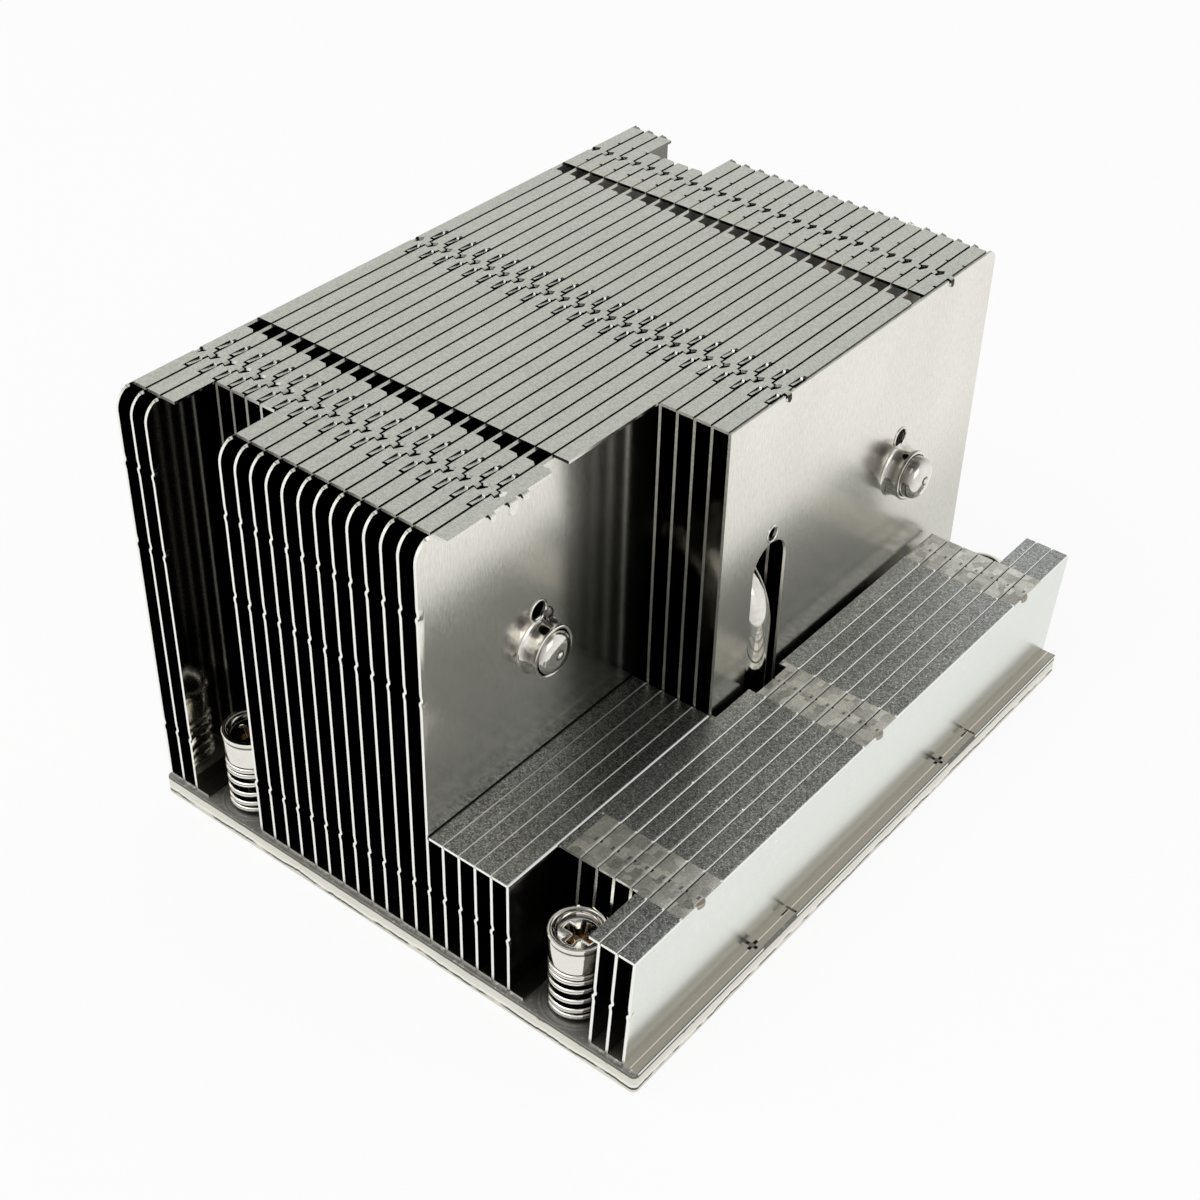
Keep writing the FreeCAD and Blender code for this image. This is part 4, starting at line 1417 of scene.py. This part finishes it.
class HEATSINK_OT_base_plate(bpy.types.Operator):
    """Mills the base plate with its grooves and screw holes"""
    bl_idname = "heatsink.base_plate"
    bl_label = "Base plate"

    def execute(self, context):
        edge = context.scene.heatsink_plate.edge / MM
        verts, faces = [], []
        levels = [(edge, 0.0), (edge * 0.3, edge * 0.3), (0.0, edge), (0.0, FOOT_Z - edge),
                  (edge * 0.3, FOOT_Z - edge * 0.3), (edge, FOOT_Z)]
        ring_rows(verts, faces, [(plate_outline(inset), z) for inset, z in levels])
        top_loops, bottom_loops = [plate_outline(edge)], [plate_outline(edge)]
        shoulder_z = 1.8
        for name, (side, leg_x, _) in PIPES.items():
            stadium = groove_outline(side, PIPE_Y[name], leg_x)
            ring_rows(verts, faces, [(stadium, FOOT_Z), (stadium, GROOVE_Z)])
            cap(verts, faces, [stadium], GROOVE_Z, True)
            top_loops.append(stadium)
        for x, y in SCREWS.values():
            hole, lip, well, mouth = [ring(x, y, radius, 32) for radius in (1.5, 1.6, 2.0, 2.15)]
            ring_rows(verts, faces, [(lip, FOOT_Z), (hole, FOOT_Z - 0.1), (hole, shoulder_z)])
            ring_rows(verts, faces, [(well, shoulder_z), (well, 0.15), (mouth, 0.0)])
            cap(verts, faces, [well, hole], shoulder_z, False)
            top_loops.append(lip)
            bottom_loops.append(mouth)
        cap(verts, faces, top_loops, FOOT_Z, True)
        cap(verts, faces, bottom_loops, 0.0, False)
        plate = row("milled_plate", mesh_from("milled_plate", verts, faces, 40.0), plate_metal(), angle=40.0)
        placed(plate, "sink", "plated_base", "base_plate")
        return {"FINISHED"}


# ---------------------------------------------------------------- stage


def light_paths(nodes):
    """1 for a ray that the camera, a reflection or glass sends out, and 1 for the camera's alone."""
    names = "Is Camera Ray", "Is Glossy Ray", "Is Transmission Ray"
    camera, glossy, glass = nodes.node("ShaderNodeLightPath").outputs(*names)
    return camera.most(glossy, glass), camera


def studio_world(fill):
    """White room for the camera and for reflections, with a dimmer ceiling over the metal."""
    world = bpy.data.worlds.new("studio")
    world.use_nodes = True
    room = Nodes(world.node_tree)
    seen, camera = light_paths(room)
    up = room.node("ShaderNodeTexCoord", output="Generated").parts()[2]
    ceiling = room.node("ShaderNodeMapRange", {"interpolation_type": "SMOOTHSTEP"},
                        {"Value": up, "From Min": 0.72, "From Max": 0.95, "To Min": 1.0, "To Max": 0.35})
    strength = room.node("ShaderNodeMix", inputs={"Factor": seen, "A": fill, "B": ceiling.most(camera)})
    room.feed(room.tree.nodes["Background"], {"Strength": strength, "Color": (1.0, 1.0, 1.0, 1.0)})
    return world


def floor_paper(tone):
    """Pale paper that the camera and the metal see nearly white, with the object's shadow kept."""
    paper = Finish("floor_paper", metallic=0.0)
    fibre = paper.noise(0.2, 0.2, 0.2, detail=3.0)
    paper.finish(paper.tint(tone, 0.99 + 0.02 * fibre), 0.9)
    glow = paper.node("ShaderNodeEmission", inputs={"Strength": 1.0})
    surface = Value(paper, paper.shader.outputs[0])
    mixed = paper.node("ShaderNodeMixShader", inputs={0: light_paths(paper)[0] * 0.88, 1: surface, 2: glow})
    paper.feed(paper.tree.nodes["Material Output"], {"Surface": mixed})
    return paper.material


class HEATSINK_OT_stage(bpy.types.Operator):
    """Sets out the pale floor, the soft lamps and the camera"""
    bl_idname = "heatsink.stage"
    bl_label = "Stage"

    def execute(self, context):
        scene, looks = context.scene, context.scene.heatsink_stage
        scene.view_settings.view_transform = "Standard"
        mesh = bpy.data.meshes.new("studio_floor")
        half, z = 1.6, -0.0001
        mesh.from_pydata([(-half, -half, z), (half, -half, z), (half, half, z), (-half, half, z)], [], [(0, 1, 2, 3)])
        mesh.materials.append(floor_paper(looks.floor))
        self.add(scene, "studio_floor", mesh)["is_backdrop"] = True
        scene.world = studio_world(looks.fill)
        for name, place, size, power in (("key_lamp", (-0.30, -0.45, 0.75), 0.7, looks.key),
                                         ("side_lamp", (0.75, -0.15, 0.45), 0.6, looks.key * 0.5)):
            light = bpy.data.lights.new(name, "AREA")
            light.energy, light.size = power, size
            aim = Vector((0, 0, 0.03)) - Vector(place)
            self.add(scene, name, light, place, aim.to_track_quat("-Z", "Y").to_euler())
        lens = bpy.data.cameras.new("photo_camera")
        lens.lens, lens.sensor_width, lens.clip_start = looks.focal, 36.0, 0.01
        place, turn = (0.1272, -0.1719, 0.1869), (0.91718, -0.02095, 0.67584)
        scene.camera = self.add(scene, "photo_camera", lens, place, turn)
        return {"FINISHED"}

    def add(self, scene, name, data, place=(0, 0, 0), turn=(0, 0, 0)):
        thing = bpy.data.objects.new(name, data)
        thing.location, thing.rotation_euler = place, turn
        scene.collection.objects.link(thing)
        return thing


OPERATORS = (HEATSINK_OT_stage, HEATSINK_OT_base_plate, HEATSINK_OT_tall_fins, HEATSINK_OT_stepped_fins,
             HEATSINK_OT_low_fins, HEATSINK_OT_collars, HEATSINK_OT_heat_pipes, HEATSINK_OT_screws,
             HEATSINK_OT_springs)


class HEATSINK_PT_panel(bpy.types.Panel):
    """Lists the heatsink's pieces with their sizes and finishes"""
    bl_idname = "HEATSINK_PT_panel"
    bl_label = "Heatsink"
    bl_space_type = "VIEW_3D"
    bl_region_type = "UI"
    bl_category = "Heatsink"

    def draw(self, context):
        for operator in OPERATORS:
            self.layout.operator(operator.bl_idname)
        for name, group in GROUPS.items():
            box = self.layout.box()
            for field in group.__annotations__:
                box.prop(getattr(context.scene, name), field)


def register():
    for part in (*GROUPS.values(), *OPERATORS, HEATSINK_PT_panel):
        bpy.utils.register_class(part)
    for name, group in GROUPS.items():
        setattr(bpy.types.Scene, name, PointerProperty(type=group))


def unregister():
    for name in GROUPS:
        delattr(bpy.types.Scene, name)
    for part in reversed((*GROUPS.values(), *OPERATORS, HEATSINK_PT_panel)):
        bpy.utils.unregister_class(part)


def corners(bounds):
    return [list(corner) for corner in bounds]


def main():
    packed = corners(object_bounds())
    register()
    for operator in OPERATORS:
        group, name = operator.bl_idname.split(".")
        getattr(getattr(bpy.ops, group), name)()
    dressed = corners(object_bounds())


if __name__ == "__main__":
    main()
